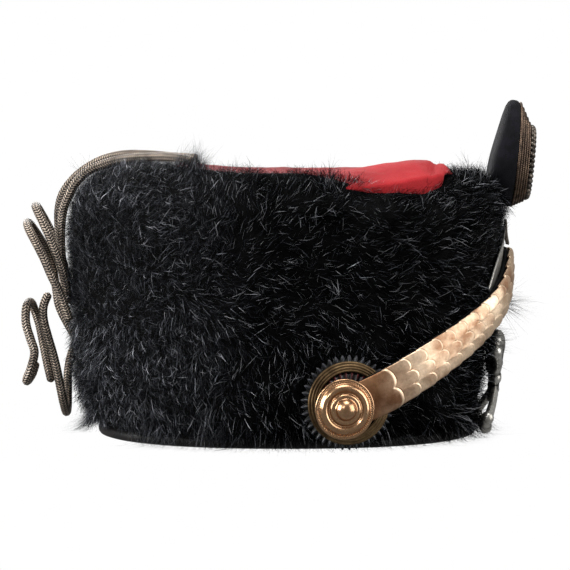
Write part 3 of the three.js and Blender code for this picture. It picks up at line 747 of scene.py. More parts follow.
# A few longer locks that stand out of the coat
def makeTufts(material):
    rng = np.random.default_rng(77)
    verts, faces, own = [], [], []
    hem = ovalAt(hemTufts["row"], np.linspace(-math.pi, math.pi, hemTufts["count"], endpoint=False))
    hem = [(spot, (hemTufts["out"] * spot[0] / 110, hemTufts["out"] * spot[1] / 96, -1), hemTufts["length"],
            hemTufts["spread"], hemTufts["strands"]) for spot in hem if spot[0] > -80 or spot[1] > -20]
    for root, way, length, spread, count in list(tufts) + hem:
        for _ in range(count):
            start = np.array(root, float) + rng.normal(0, spread / 2, 3)
            step = np.array(way, float) + rng.normal(0, 0.24, 3)
            step *= length / 5 * rng.uniform(0.5, 1.15) / np.linalg.norm(step)
            bend = rng.normal(0, 0.05, 3) * length / 5 + np.array([0, 0, -0.02 * length / 5])
            across = np.cross(step, rng.normal(0, 1, 3))
            across *= furStrands["width"] / 2 / np.linalg.norm(across)
            tone, first = rng.uniform(), len(verts)
            for i in range(5):
                middle = start + step * i + bend * i * i
                verts += [middle - across * (1 - i / 6), middle + across * (1 - i / 6)]
            verts.append(start + step * 5 + bend * 25)
            own += [tone] * 11
            faces += [tuple(first + 2 * i + k for k in (0, 1, 3, 2)) for i in range(4)]
            faces.append((first + 8, first + 9, first + 10))
    item = newObject("furTufts", toCap(verts), faces, material)
    storeValues(item, "own", own)
    layOnTable(item)
    finishPiece(item, "fur")


def makeFurStrands(skin, material):
    mesh = skin.data
    points, normals = fromCap(readVertices(skin)), readVertices(skin, "normal")
    x, y, z = points.T
    forward = np.cross([0, 0, 1.0], normals)
    forward /= np.maximum(np.linalg.norm(forward, axis=1, keepdims=True), 1e-6)
    forward *= np.where(y > 0, -1, 1)[:, None]
    upward = np.cross(normals, forward) * np.where(y > 0, -1, 1)[:, None]
    angle = furFlow(x, z) + 1.5 * noiseValues(points, 0.034, 5.0) + 1.6 * noiseValues(points, 0.12, 11.0)
    flank = smoothStep(84, 100, x) * smoothStep(22, 30, np.abs(y)) * (z < 70) * (z > 12)
    angle = angle * (1 - flank) + 0.1 * flank
    flow = forward * np.cos(angle)[:, None] + upward * np.sin(angle)[:, None]
    reach = 1 + 0.5 * noiseValues(points, 0.06, 17.0) - 0.25 * smoothStep(140, 148, z)
    reach += 0.75 * (1 - smoothStep(10, 24, z)) * smoothStep(-104, -70, x) - 0.3 * (1 - smoothStep(8, 20, z))
    behind = np.maximum((z > 80) * (z < 128), (np.abs(y) < 30) * (z < 70))
    badges = smoothStep(90, 100, x) * (np.abs(y) < 46) * behind
    reach = np.clip(reach * (1 - 0.45 * badges) + 0.35 * flank, 0.3, 1.9)
    cover = furCover(x, y, z)
    for name, kind, values in (("flow", "FLOAT_VECTOR", flow), ("reach", "FLOAT", reach),
                               ("cover", "FLOAT", cover)):
        layer = mesh.attributes.new(name, kind, "POINT")
        layer.data.foreach_set("vector" if kind == "FLOAT_VECTOR" else "value",
                               np.ascontiguousarray(values, dtype=np.float32).ravel())
    clumps = bpy.data.collections.new("furClumps")
    kinds = [makeClump(f"furClump{i}", 20 + i) for i in range(furStrands["kinds"])]
    for item in kinds:
        clumps.objects.link(item)
        bpy.context.scene.collection.objects.unlink(item)
    tree = strandTree(clumps, material)
    centres = fromCap(np.array([polygon.center for polygon in mesh.polygons]))
    outside = np.array([polygon.normal for polygon in mesh.polygons])
    radial = (centres[:, 0] * outside[:, 0] + centres[:, 1] * outside[:, 1]) > 0
    grows = (radial | (centres[:, 2] > 143)) & (centres[:, 2] > 6.8) & (outside[:, 2] > -0.75)
    inner = (np.hypot(centres[:, 0] / 98, centres[:, 1] / 76) < 1.0) & (centres[:, 2] < 147)
    turn = np.arctan2(centres[:, 1], centres[:, 0]) / (2 * math.pi) + 0.15
    sector = (turn % 1 * furStrands["sectors"]).astype(int)
    for index in range(furStrands["sectors"]):
        chosen = np.nonzero(grows & ~inner & (sector == index))[0]
        ground = mesh.copy()
        work = bmesh.new()
        work.from_mesh(ground)
        work.faces.ensure_lookup_table()
        keep = set(int(i) for i in chosen)
        bmesh.ops.delete(work, geom=[f for f in work.faces if f.index not in keep], context="FACES")
        work.to_mesh(ground)
        work.free()
        item = addObject(f"furStrands{index + 1}", ground)
        modifier = item.modifiers.new("strands", "NODES")
        modifier.node_group = tree
        setInputs(modifier, Density=furStrands["perSquareMetre"], Lift=furStrands["lift"],
                  Stray=furStrands["stray"], Seed=31 + index)
        applyModifiers(item)
        layOnTable(item)
        finishPiece(item, "fur")
    for item in kinds:
        bpy.data.objects.remove(item)
    bpy.data.collections.remove(clumps)


furBody = makeFurSkin(furMaterial("furSkin", True))
strandBlack = furMaterial("furStrands", False)
makeFurStrands(furBody, strandBlack)
makeTufts(strandBlack)
finishPiece(furBody, "fur", "fur_cover")
print("fur made")


# Bag: red cloth over the crown, swollen at its right front, and down the left side
bagRows = (  # y, height, back, front, drop of the corners, wrap of the sides
    (-89.5, 136.6, 34, 66, 0, 0), (-86, 139.8, 30, 74, 0, 0), (-80, 142.8, 22, 79, 0, 0),
    (-72, 145.4, 0, 83, 1, 0),
    (-63, 147.2, -34, 85, 2, 0), (-45, 148.5, -73, 92, 4, 0),
    (-15, 148.5, -86.5, 94.5, 5.5, 0), (15, 148.5, -86.5, 94.5, 5.5, 0), (40, 149, -76, 84, 3, 0),
    (58, 150, -66, 74, 0, 0), (84, 151, -64, 68, 0, 2), (99, 146.5, -63, 62, 0, 5),
    (106, 133, -62, 56, 0, 7),
    (107.5, 112, -62, 46, 0, 7), (107.5, 80, -60, 22, 0, 5), (107, 52, -54, -6, 0, 2),
    (106, 28, -41, -23, 0, 0))
bagShape = {"columns": 96, "stepsPerRow": 9, "thickness": 1.5, "swell": 7.6, "creaseDepth": 2.2,
            "creaseX": 81,
            "flatWidth": 0.18, "uvLength": 0.32}


# The swell near the front corner, its long crease, and slack wrinkles
def bagHeight(x, y):
    along = smoothStep(14, 70, x) * (1 - smoothStep(85, 95, x))
    swell = bagShape["swell"] * along * np.exp(-((y + 40) / 26) ** 2)
    crease = np.exp(-((x - bagShape["creaseX"] - 0.12 * (y + 40)) / 2.2) ** 2)
    crease *= np.exp(-((y + 48) / 22) ** 2)
    return swell - bagShape["creaseDepth"] * crease


def makeBag(material):
    table = smoothTable(np.array(bagRows, dtype=float), bagShape["stepsPerRow"])
    columns = bagShape["columns"]
    share = np.linspace(0, 1, columns)
    side = 2 * share - 1
    rows = []
    for y, z, back, front, drop, wrap in table:
        x = back + (front - back) * share
        lift = rearRise(x, z) + bagHeight(x, y) + 1.1 * np.sin(x / 9 + y * 0.02) * smoothStep(60, 10, abs(y))
        hang = float(smoothStep(99, 108, y))
        ripple = np.sin(side * 13 + z * 0.03) * smoothStep(150, 60, z)
        fold = hang * (1.6 * np.sin(side * 6.5 + 0.4) ** 2 + ripple)
        points = np.stack([x, y - wrap * side ** 2 + np.abs(fold), z - drop * np.abs(side) ** 6 + lift],
                          axis=1)
        wrinkle = 0.9 * noiseValues(points * [1, 1, 0.6], 0.05, 30.0)
        wrinkle += 0.35 * noiseValues(points, 0.16, 44.0)
        points[:, 2] += wrinkle * (1 - hang)
        points[:, 1] += np.abs(wrinkle) * hang
        rest = np.clip(1 - np.abs((points[:, 0] - 3) / 111) ** ovalPower, 0, 1)
        over = np.maximum(0, -points[:, 1] - 87 * rest ** 0.435) * smoothStep(-10, 20, points[:, 0])
        points[:, 1] += over
        points[:, 2] -= 0.5 * over
        rows.append(points)
    uvs = [(u * bagShape["flatWidth"],
            v / len(rows) * bagShape["uvLength"]) for v in range(len(rows)) for u in share]
    item = newObject("redBag", toCap(np.concatenate(rows)), gridFaces(len(rows), columns), material, uvs)
    thicken(item, bagShape["thickness"], 0)
    finishPiece(item, "red_cloth", "bag")


# painted shade: the red wool darkens toward the cap's rear
redWool = agedMaterial("redWool", dark=(0.3, 0.016, 0.019), light=(0.43, 0.026, 0.031), patch=35,
                       grain=2600, grainDepth=0.3, roughness=(0.9, 0.9), specular=0.08, sheen=0.05,
                       bump=0.35, paintedShadeAlongX=(8.0, 0.5, [(0.3, (0.55,) * 3), (0.8, (1,) * 3)]))
makeBag(redWool)
print("bag made")


# Field badge: a padded wool oval with five twisted cords, a ring of bullion coils and a cloth centre
badge = {"spot": (115.2, 0, 161.4), "lean": 0.087, "narrower": 7.6, "cords": 5, "cordRadius": 0.86,
         "around": 120,
         "backLean": 6.0, "cordDepth": 0.34, "cordPitch": 1.25, "cordStep": 0.4, "coilRadius": 3.3,
         "coilPitch": 2.9,
         "coilStep": 0.32, "firstCord": (15.5, 29.6, 0.3), "lastCordShift": (6.0, -7.0, 3.8),
         "coilCore": (23.4, 18.6, 4.3)}  # these three: forward, half height, drop
badgeBody = ((0, 12, 0), (0.1, 18, 0), (0.6, 24, 0), (1.6, 27.6, 0), (3.2, 29.6, 0), (5.6, 30.6, 0),
             (9.2, 31, 0),
             (13, 30.8, 0), (14.4, 30.2, 0.1), (15.2, 28.6, 0.5), (18, 25.4, 2.1), (20.8, 22.2, 4),
             (21.2, 21.2, 4.2),
             (21.2, 12, 4.4))


# Points turned about Y, so that their top leans forward
def leaned(points, lean):
    cosine, sine = math.cos(lean), math.sin(lean)
    x, y, z = points.T
    return np.stack([x * cosine + z * sine, y, z * cosine - x * sine], axis=1)


# From the badge's own frame, x forward and z up, to the cap
def badgeToCap(points):
    points = np.array(points, dtype=float)
    thin = smoothStep(-16, 30, points[:, 2]) * smoothStep(14, 0, points[:, 0])
    points[:, 0] += badge["backLean"] * thin
    return toCap(leaned(points, badge["lean"]) + badge["spot"])


def badgeOval(x, half, drop, count):
    angles = ringAngles(count)
    across = max(half - badge["narrower"], 0.3)
    return np.stack([np.full(count, float(x)), across * np.cos(angles), half * np.sin(angles) - drop],
                    axis=1)


# A skin over rings of equal count, with a fan at each end
def closedRings(name, rings, material):
    count = len(rings[0])
    top = (len(rings) - 1) * count
    verts = np.vstack([*rings, rings[0].mean(axis=0), rings[-1].mean(axis=0)])
    faces = gridFaces(len(rings), count, closedColumns=True)
    faces += [((i + 1) % count, i, len(verts) - 2) for i in range(count)]
    faces += [(top + i, top + (i + 1) % count, len(verts) - 1) for i in range(count)]
    return outward(newObject(name, verts, faces, material))


# A closed cord wound along an oval. windAt(angle, phase) gives its reach there, and its relief from 0 to 1
def woundRing(name, oval, step, pitch, sides, windAt, material, flatten=1.0, finish=np.array):
    points, along = resample(np.vstack([oval, oval[:1]]), step)
    points, along = points[:-1], along[:-1]
    _, side, up = lineFrames(points, closed=True)
    total = along[-1] + step
    turns = round(total / pitch)
    verts, relief = [], []
    for point, s, a, b in zip(points, along, side, up):
        for angle in ringAngles(sides):
            reach, crest = windAt(angle, turns * 2 * math.pi * s / total)
            offset = (a * math.cos(angle) + b * math.sin(angle)) * reach
            offset[0] *= flatten
            verts.append(point + offset)
            relief.append(crest)
    item = newObject(name, finish(verts), gridFaces(len(points), sides, True, True), material)
    storeValues(item, "relief", relief)
    return outward(item, merge=False)


# Two strands twisted together, in metres
def twistAt(angle, phase):
    crest = abs(math.cos((angle * 2 - phase) / 2))
    return badge["cordRadius"] * mm * (1 - badge["cordDepth"] * (1 - crest)), crest


# Bullion wound over a core: fat turns side by side, in millimetres
def coilAt(angle, phase):
    crest = abs(math.cos((phase + angle) / 2)) ** 0.7
    fine = abs(math.sin((phase + angle) * 4))
    return badge["coilRadius"] * (0.6 + 0.4 * crest) + 0.12 * fine, 0.75 * crest + 0.25 * fine


# Painted shade in the grooves of twisted threads and bullion coils, and a painted highlight on their crests
threadShadeAndHighlight = [(0.1, (0.12, 0.1, 0.09)), (0.55, (0.66, 0.64, 0.62)), (0.95, (1, 1, 1))]


def makeBadge():
    wool = agedMaterial("badgeWool", dark=(0.003, 0.003, 0.004), light=(0.009, 0.009, 0.013), patch=160,
                        grain=2400, grainDepth=0.7, roughness=(0.9, 0.9), specular=0.12, sheen=0.02,
                        bump=0.6)
    bronze = agedMaterial("badgeThread", dark=(0.045, 0.028, 0.02), light=(0.22, 0.15, 0.105), patch=220,
                          grain=900, grainDepth=0.2, roughness=(0.42, 0.42), metallic=0.75, bump=0.1,
                          byRelief=threadShadeAndHighlight)
    bullion = agedMaterial("badgeBullion", dark=(0.02, 0.016, 0.014), light=(0.2, 0.17, 0.14), patch=220,
                           grain=900, grainDepth=0.2, roughness=(0.3, 0.3), metallic=0.75, bump=0.1,
                           byRelief=threadShadeAndHighlight)
    count = badge["around"]
    body = closedRings("badgeWool", [badgeToCap(badgeOval(*row, count)) for row in badgeBody], wool)
    finishPiece(body, "black_cloth", "badge_body")
    for number in range(badge["cords"]):
        share = number / (badge["cords"] - 1)
        row = np.array(badge["firstCord"]) + np.array(badge["lastCordShift"]) * share
        oval = badgeOval(*row, 2 * badge["around"])
        item = woundRing(f"badgeCord{number + 1}", badgeToCap(oval), step=badge["cordStep"] * mm,
                         pitch=badge["cordPitch"] * mm, sides=8, windAt=twistAt, material=bronze)
        finishPiece(item, "badge_bullion", f"badge_cord_{number + 1}")
    coils = woundRing("badgeCoils", badgeOval(*badge["coilCore"], 2 * badge["around"]),
                      step=badge["coilStep"],
                      pitch=badge["coilPitch"], sides=18, windAt=coilAt, material=bullion, flatten=0.72,
                      finish=badgeToCap)
    finishPiece(coils, "badge_bullion", "badge_coils")
    steps = ((21.3, 15.2, 4.3), (22.4, 15, 4.4), (23.3, 14, 4.4), (24.0, 11.5, 4.4), (24.2, 9, 4.4))
    centre = closedRings("badgeCentre", [badgeToCap(badgeOval(*row, 64)) for row in steps], wool)
    finishPiece(centre, "black_cloth", "badge_centre")


makeBadge()
print("badge made")


# Cockades with their bosses, alike on both sides
cockade = {"spot": (30.3, 101.4, 26.4), "turn": 0.21, "teeth": 41, "lowered": 2.2, "bossHeight": 12.6,
           "bossBack": 4.5}
ringProfile = ((17.1, 0), (22.0, 0), (22.5, 0.6), (22.5, 1.3), (22.1, 1.9), (21.5, 2.0), (21.1, 1.75),
               (20.8, 2.1),
               (20.3, 2.5), (19.9, 2.4), (19.7, 2.2), (19.4, 2.5), (18.9, 2.8), (18.5, 2.7), (18.3, 2.5),
               (18.0, 2.8),
               (17.4, 3.0), (16.9, 2.6), (16.8, 1.4))
bossProfile = ((0, 0), (15.2, 0), (16.0, 0.5), (16.25, 1.1), (16.0, 1.6), (15.5, 1.75), (15.1, 1.55),
               (14.0, 1.6),
               (13.7, 1.9), (13.3, 2.9), (12.5, 3.8), (11.5, 4.2), (10.4, 4.0), (9.5, 3.3), (9.1, 2.9),
               (8.7, 3.0),
               (8.3, 3.7), (7.8, 4.3), (7.1, 4.45), (6.4, 4.2), (6.0, 4.2), (5.7, 5.0), (5.1, 6.3),
               (4.3, 7.3),
               (3.3, 8.1), (2.2, 8.6), (1.1, 8.85), (0, 8.9))


# From the cockade's own frame, z outward and y up, to the cap
def cockadeToCap(points, side):
    points = np.asarray(points, dtype=float)
    out = np.array([math.sin(cockade["turn"]), side * math.cos(cockade["turn"]), 0])
    up = np.array([0, 0, 1.0])
    x, y, z = cockade["spot"]
    spots = np.outer(points[:, 0], np.cross(up, out)) + np.outer(points[:, 1],
                                                                 up) + np.outer(points[:, 2], out)
    return toCap(spots + [x, side * y, z])


def lathe(name, profile, segments, side, height, shift, lowered, material, closed=False):
    angles = ringAngles(segments)
    rings = [np.stack([r * np.cos(angles) + side * shift, r * np.sin(angles) - lowered,
                       np.full(segments, h + height)], axis=1)
             for r, h in profile]
    faces = gridFaces(len(profile), segments, closed, True)
    return outward(newObject(name, cockadeToCap(np.concatenate(rings), side), faces, material))


# A flat ring of folded cloth: each tooth is a ridge with a pointed tip; its relief puts a painted highlight
# on the ridges' outer crests and painted shade in the valleys
def makePleats(name, inner, outer, valley, teeth, low, high, side, height, material):
    perTooth = 8
    count = teeth * perTooth
    angles = ringAngles(count)
    ridge = np.abs(2 * (np.arange(count) % perTooth) / perTooth - 1)
    edge = valley + (outer - valley) * ridge ** 0.8
    rings, crestLightAndFoldShade = [], []
    shares = (0, 0.3, 0.6, 0.8, 0.92, 1)
    for share, isTop in [(s, 1) for s in shares] + [(s, 0) for s in reversed(shares)]:
        radius = inner + (edge - inner) * share
        crown = low + (high - low) * ridge * (1 - 0.35 * max(0, share - 0.6) / 0.4)
        rings.append(np.stack([radius * np.cos(angles), radius * np.sin(angles), isTop * crown + height],
                              axis=1))
        crestLightAndFoldShade.append(isTop * share * ridge)
    verts = cockadeToCap(np.concatenate(rings), side)
    item = newObject(name, verts, gridFaces(len(rings), count, True, True), material)
    storeValues(item, "relief", np.concatenate(crestLightAndFoldShade))
    return outward(item, merge=False)


# A ring of small beads as one mesh
def makeBeads(name, radius, count, size, height, shift, lowered, side, material):
    base = bmesh.new()
    bmesh.ops.create_icosphere(base, subdivisions=1, radius=size)
    shape = np.array([tuple(v.co) for v in base.verts])
    shapeFaces = [[v.index for v in f.verts] for f in base.faces]
    base.free()
    verts, faces = [], []
    for i in range(count):
        angle = i / count * 2 * math.pi
        spot = np.array([radius * math.cos(angle) + side * shift, radius * math.sin(angle) - lowered,
                         height])
        faces += [[index + len(verts) for index in face] for face in shapeFaces]
        verts += list(shape + spot)
    return newObject(name, cockadeToCap(np.array(verts), side), faces, material)


rosettes = {
    "brass": agedMaterial("bossBrass", dark=(0.46, 0.26, 0.14), light=(0.72, 0.44, 0.25), patch=75,
                          grain=900, grainDepth=0.25, roughness=(0.32, 0.17), metallic=1.0, bump=0.02),
    "ring": agedMaterial("cockadeRingBrass", dark=(0.06, 0.038, 0.02), light=(0.26, 0.17, 0.085),
                         patch=75, grain=900, grainDepth=0.3, roughness=(0.54, 0.38), metallic=1.0,
                         bump=0.05),
    # Satin: painted shade darkens all but the pleats' crests, which carry a painted highlight
    "black": agedMaterial("blackSatin", dark=(0.013, 0.015, 0.022), light=(0.026, 0.03, 0.044),
                          patch=300, grain=500, grainDepth=0.4, roughness=(0.4, 0.4), sheen=0.05,
                          byRelief=[(0.5, (0.08,) * 3), (0.97, (1, 1, 1))]),
    "red": agedMaterial("redSatin", dark=(0.1, 0.003, 0.006), light=(0.2, 0.006, 0.012), patch=300,
                        grain=500, grainDepth=0.4, roughness=(0.4, 0.4), sheen=0.05,
                        byRelief=[(0.5, (0.04,) * 3), (0.97, (1, 1, 1))])}


def makeCockade(label, side):
    pleats = makePleats(f"blackPleats_{label}", inner=11, outer=25.7, valley=22.4,
                        teeth=cockade["teeth"], low=1.0, high=2.7, side=side, height=0.3,
                        material=rosettes["black"])
    finishPiece(pleats, "black_cloth", f"cockade_pleats_{label}")
    ring = lathe(f"cordedRing_{label}", ringProfile, segments=140, side=side, height=3.2, shift=0,
                 lowered=0, material=rosettes["ring"], closed=True)
    finishPiece(ring, "tarnished_brass", f"cockade_ring_{label}")
    centre = makePleats(f"redPleats_{label}", inner=5, outer=16.6, valley=15.4, teeth=30, low=0.8,
                        high=1.9, side=side, height=3.2, material=rosettes["red"])
    finishPiece(centre, "dark_red_cloth", f"cockade_centre_{label}")
    boss = lathe(f"boss_{label}", bossProfile, segments=96, side=side, height=cockade["bossHeight"],
                 shift=cockade["bossBack"], lowered=cockade["lowered"], material=rosettes["brass"])
    finishPiece(boss, "brass", f"rosette_{label}")
    beads = makeBeads(f"bossBeads_{label}", radius=14.6, count=84, size=0.42,
                      height=cockade["bossHeight"] + 1.65, shift=cockade["bossBack"],
                      lowered=cockade["lowered"], side=side, material=rosettes["brass"])
    finishPiece(beads, "brass")


makeCockade("right", -1)
makeCockade("left", 1)
print("cockades made")


# Chin straps: a velvet lining, a two-lobed first plate and rows of three-lobed scales
strap = {"start": 6, "firstReach": 21.8, "pitch": 11.06, "count": 13, "lining": 1.8, "arch": 1.9, "gap": 0.3,
         "columns": 40, "stepsPerRow": 30, "thickness": 0.55}
strapRows = (  # along the wearer's right: x, y, z, width
    (28, -108.8, 23, 22), (48, -104.8, 32, 22), (66, -97, 42, 21.5), (78, -89, 49.3, 21),
    (95.6, -71.5, 60.4, 20),
    (111.6, -49.9, 73, 18.5), (119, -33.2, 82.8, 17.5), (122.2, -16, 92.4, 16.5), (123.6, -0.5, 99, 16))


def strapLine():
    points = smoothTable([Vector(row[:3]) for row in strapRows], strap["stepsPerRow"])
    along = np.concatenate([[0], np.cumsum(np.linalg.norm(np.diff(points, axis=0), axis=1))])
    widths = np.interp(along, along[::strap["stepsPerRow"]], [row[3] for row in strapRows])
    return points, along, widths


# Points over the strap: distance along it, share across from -1 to 1, lift off its line
def strapSurface(side, distance, share, lift):
    points, along, widths = strapLine()
    distance = np.clip(distance, 0, along[-1] - strap["gap"])

    def at(where):
        return np.stack([np.interp(where, along, points[:, k]) for k in range(3)], axis=-1)

    middle = at(distance)
    way = at(distance + 0.5) - at(distance - 0.5)
    way /= np.linalg.norm(way, axis=-1, keepdims=True)
    out = np.stack([middle[..., 0] / 133, middle[..., 1] * 133 / 107 ** 2, np.zeros_like(distance)], axis=-1)
    out -= way * (out * way).sum(axis=-1, keepdims=True)
    out /= np.linalg.norm(out, axis=-1, keepdims=True)
    across = np.cross(way, out)
    across /= np.linalg.norm(across, axis=-1, keepdims=True)
    width = np.interp(distance, along, widths)
    spot = middle + across * (share * width / 2)[..., None] + out * lift[..., None]
    spot[..., 1] = np.minimum(spot[..., 1], -strap["gap"])
    if side > 0:
        spot[..., 1] *= -1
    return spot


# How far the scalloped edge reaches past the plate, and how near each point is to a notch
def scaleEdge(share, lobes):
    position = (share + 1) / 2 * lobes
    lobe = np.minimum(np.floor(position), lobes - 1)
    within = 2 * (position - lobe) - 1
    reach = 3.8 * np.sqrt(np.maximum(0, 1 - np.abs(within) ** 2.2))
    if lobes == 3:
        reach = reach + 1.7 * (lobe == 1) * np.sqrt(np.maximum(0, 1 - within ** 4))
    return reach, within


# An arched plate with pillowed lobes and a thin raised edge, with painted shadow where the plate before lies
# on it and a painted highlight along its own edge
def makeScale(name, side, start, reach, lobes, material, lobesBefore=0):
    share = np.linspace(-1, 1, strap["columns"])
    edge, within = scaleEdge(share, lobes)
    before = scaleEdge(share, lobesBefore)[0] if lobesBefore else np.zeros_like(share)
    seams = np.array([-0.5, 0.4, 1.3])
    free = np.array([0.12, 0.3, 0.45, 0.58, 0.7, 0.8, 0.88, 0.93, 0.965, 0.985, 1.0])
    first = before + seams[-1]
    far = np.vstack([np.zeros_like(share), np.maximum(before + seams[:, None], 0.02),
                     first + free[:, None] * (reach + edge - first)])
    row = far / (reach + edge)
    distance = start + far
    rise = 0.5 + 1.25 * row ** 1.15
    nearEdge = smoothStep(0.35, 0.85, row)
    pillow = 0.5 * nearEdge * np.sqrt(np.maximum(0, 1 - within[None, :] ** 2))
    lip = 0.09 * np.exp(-((row - 0.955) / 0.022) ** 2) - 0.35 * smoothStep(0.97, 1, row)
    across = np.broadcast_to(share[None, :], distance.shape)
    lift = strap["lining"] + rise + strap["arch"] * (1 - across ** 2) + pillow + lip
    faces = gridFaces(len(far), strap["columns"])
    if side > 0:
        faces = [f[::-1] for f in faces]
    item = newObject(name, toCap(strapSurface(side, distance, across, lift)), faces, material)
    # relief for the painted marks: near 1 on the edge rows for the painted highlight, 0 on the rows under
    # the plate before for the painted shadow
    values = 0.5 + 0.5 * smoothStep(0.9, 0.955, row)
    if lobesBefore:
        values[:3] = 0.0
    storeValues(item, "relief", values.ravel())
    thicken(item, strap["thickness"], 1)
    return item


def makeLining(name, side, material):
    stations, share = np.linspace(0, strapLine()[1][-1],
                                  90), np.array([-1.0, -0.97, -0.6, -0.2, 0.2, 0.6, 0.97, 1.0])
    distance, across = np.meshgrid(stations, share, indexing="ij")
    top = strapSurface(side, distance, across,
                       strap["lining"] - 0.2 + strap["arch"] * (1 - across ** 2) * 0.9)
    under = strapSurface(side, distance, across, 0.15 + 0 * across)
    rings = [np.vstack([a, b[::-1]]) for a, b in zip(top, under)]
    return closedRings(name, [toCap(ring) for ring in rings], material)


def makeStrap(label, side, brass, velvet):
    lining = makeLining(f"strapLining_{label}", side, velvet)
    finishPiece(lining, "lining", f"strap_lining_{label}")
    plate = makeScale(f"firstPlate_{label}", side, strap["start"], strap["firstReach"], 2, brass)
    finishPiece(plate, "brass", f"strap_plate_{label}")
    for i in range(strap["count"]):
        start = strap["start"] + strap["firstReach"] + i * strap["pitch"]
        scale = makeScale(f"scale_{label}{i + 1}", side, start, strap["pitch"], 3, brass, 3 if i else 2)
        finishPiece(scale, "brass", f"scale_{label}_{i + 1:02d}")


# Painted shade darkens the strap's lower plates, through the tone along X, and the rows under each plate
# before; the edge colour is a painted highlight
scaleBrass = agedMaterial("scaleBrass", dark=(0.34, 0.19, 0.11), light=(0.95, 0.74, 0.53), patch=62,
                          grain=700, grainDepth=0.2, roughness=(0.5, 0.43), metallic=1.0, bump=0.06,
                          edge=(0.9, 0.7, 0.5), byRelief=[(0.05, (0.16, 0.09, 0.06)), (0.45, (1, 1, 1))],
                          paintedShadeAlongX=(12.0, 0.0, [(0.45, (0.42, 0.28, 0.2)), (0.74, (1, 1, 1))]))
velvet = agedMaterial("blackVelvet", dark=(0.002, 0.002, 0.002), light=(0.007, 0.007, 0.008), patch=300,
                      grain=900, grainDepth=0.6, roughness=(0.95, 0.95), specular=0.08, bump=0.4)
makeStrap("right", -1, scaleBrass, velvet)
makeStrap("left", 1, scaleBrass, velvet)
print("straps made")


# Front badges: a skull over crossed bones and a plain arched band above it
skullShape = {"spot": (117.2, 0, 32), "lean": 0.12, "voxel": 0.7}
skullMasses = (  # x forward, y, z, then the three radii
    (0.2, 0, 12.6, 5.2, 15.8, 14), (1.2, 0, 17, 4.6, 12.6, 9.4), (3.1, 0, 7.4, 2.6, 12, 2.8),
    (1.8, 8.2, -1, 3.4, 4.2, 4.4),
    (1.8, -8.2, -1, 3.4, 4.2, 4.4), (1.8, 0, -5.6, 3.4, 7.6, 6), (1.6, 0, -12, 3.2, 7.4, 4.6),
    (3.6, 0, -0.6, 2.4, 1.8, 3.4),
    (1, 11, 6, 3.4, 3.6, 6), (1, -11, 6, 3.4, 3.6, 6))
skullHollows = ((6.2, 5.9, 2.2, 3.9, 3.9, 3.7), (6.2, -5.9, 2.2, 3.9, 3.9, 3.7),
                (5.6, 0, -4.6, 2.6, 1.5, 2.4),
                (4.8, 9.6, -6.2, 2, 1.6, 4), (4.8, -9.6, -6.2, 2, 1.6, 4))


# Rows give a ball's spot and its three radii
def ballsObject(name, rows):
    work = bmesh.new()
    for row in rows:
        made = bmesh.ops.create_icosphere(work, subdivisions=3, radius=1.0)
        for vertex in made["verts"]:
            vertex.co = Vector([vertex.co[k] * row[3 + k] + row[k] for k in range(3)])
    mesh = bpy.data.meshes.new(name)
    work.to_mesh(mesh)
    work.free()
    return addObject(name, mesh)


def boneBalls(side):
    rows = []
    for share in np.linspace(-1, 1, 45):
        waist = 2.7 + 0.9 * abs(share) ** 3
        rows.append((2.4 - 5.4 * share ** 2, side * 33 * share, -3 + 22 * share, waist * 0.85, waist, waist))
    for end in (-1, 1):
        x, y, z = 2.4 - 5.4, side * 33 * end, -3 + 22 * end
        for dy, dz in ((2.6, -3), (-2.8, 2.6)):
            rows.append((x + 0.2, y + side * end * dy, z + end * dz, 3.7, 4, 4))
    return rows


# 1 on raised forms and 0 in hollows, from how far each vertex stands off its neighbours
def storeCavity(item, rounds=12):
    mesh = item.data
    spots, normals = readVertices(item), readVertices(item, "normal")
    ends = np.empty(len(mesh.edges) * 2, dtype=np.int64)
    mesh.edges.foreach_get("vertices", ends)
    ends = ends.reshape(-1, 2)
    degree = np.bincount(ends.ravel(), minlength=len(spots))[:, None]
    smooth = spots.copy()
    for _ in range(rounds):
        total = np.zeros_like(smooth)
        np.add.at(total, ends[:, 0], smooth[ends[:, 1]])
        np.add.at(total, ends[:, 1], smooth[ends[:, 0]])
        smooth = total / np.maximum(degree, 1)
    stand = ((spots - smooth) * normals).sum(axis=1)
    low, high = np.percentile(stand, 4), np.percentile(stand, 92)
    storeValues(item, "relief", np.clip((stand - low) / (high - low), 0, 1))


def makeSkull(material):
    teeth = [(4.4 + 0.3 * (row == 0) - 0.04 * y * y, y * 1.5, -8.2 - 3.1 * row, 1.0, 0.72, 1.35)
             for row in (0, 1) for y in (-3.5, -2.5, -1.5, -0.5, 0.5, 1.5, 2.5, 3.5)]
    item = ballsObject("skull", [*skullMasses, *boneBalls(1), *boneBalls(-1), *teeth])
    remesh = item.modifiers.new("union", "REMESH")
    remesh.mode = "VOXEL"
    remesh.voxel_size = skullShape["voxel"]
    applyModifiers(item)
    tool = ballsObject("skullTool", skullHollows)
    cut = item.modifiers.new("hollows", "BOOLEAN")
    cut.object = tool
    cut.operation = "DIFFERENCE"
    cut.solver = "EXACT"
    relax = item.modifiers.new("relax", "SMOOTH")
    relax.factor = 0.5
    relax.iterations = 2
    applyModifiers(item)
    bpy.data.objects.remove(tool)
    moveVertices(item, toCap(leaned(readVertices(item), skullShape["lean"]) + skullShape["spot"]))
    item.data.update()
    storeCavity(item)
    item.data.materials.clear()
    item.data.materials.append(material)
    item.data.shade_smooth()
    finishPiece(item, "white_metal", "skull_and_bones")


def furFrontAt(y, z):
    heights = [row[0] for row in furRows[1:9]]
    back, front, half = (np.interp(z, heights, [row[k] for row in furRows[1:9]]) for k in (1, 2, 3))
    fullness = (1 - np.abs(y / half) ** ovalPower) ** (1 / ovalPower)
    return (front + back) / 2 + (front - back) / 2 * fullness


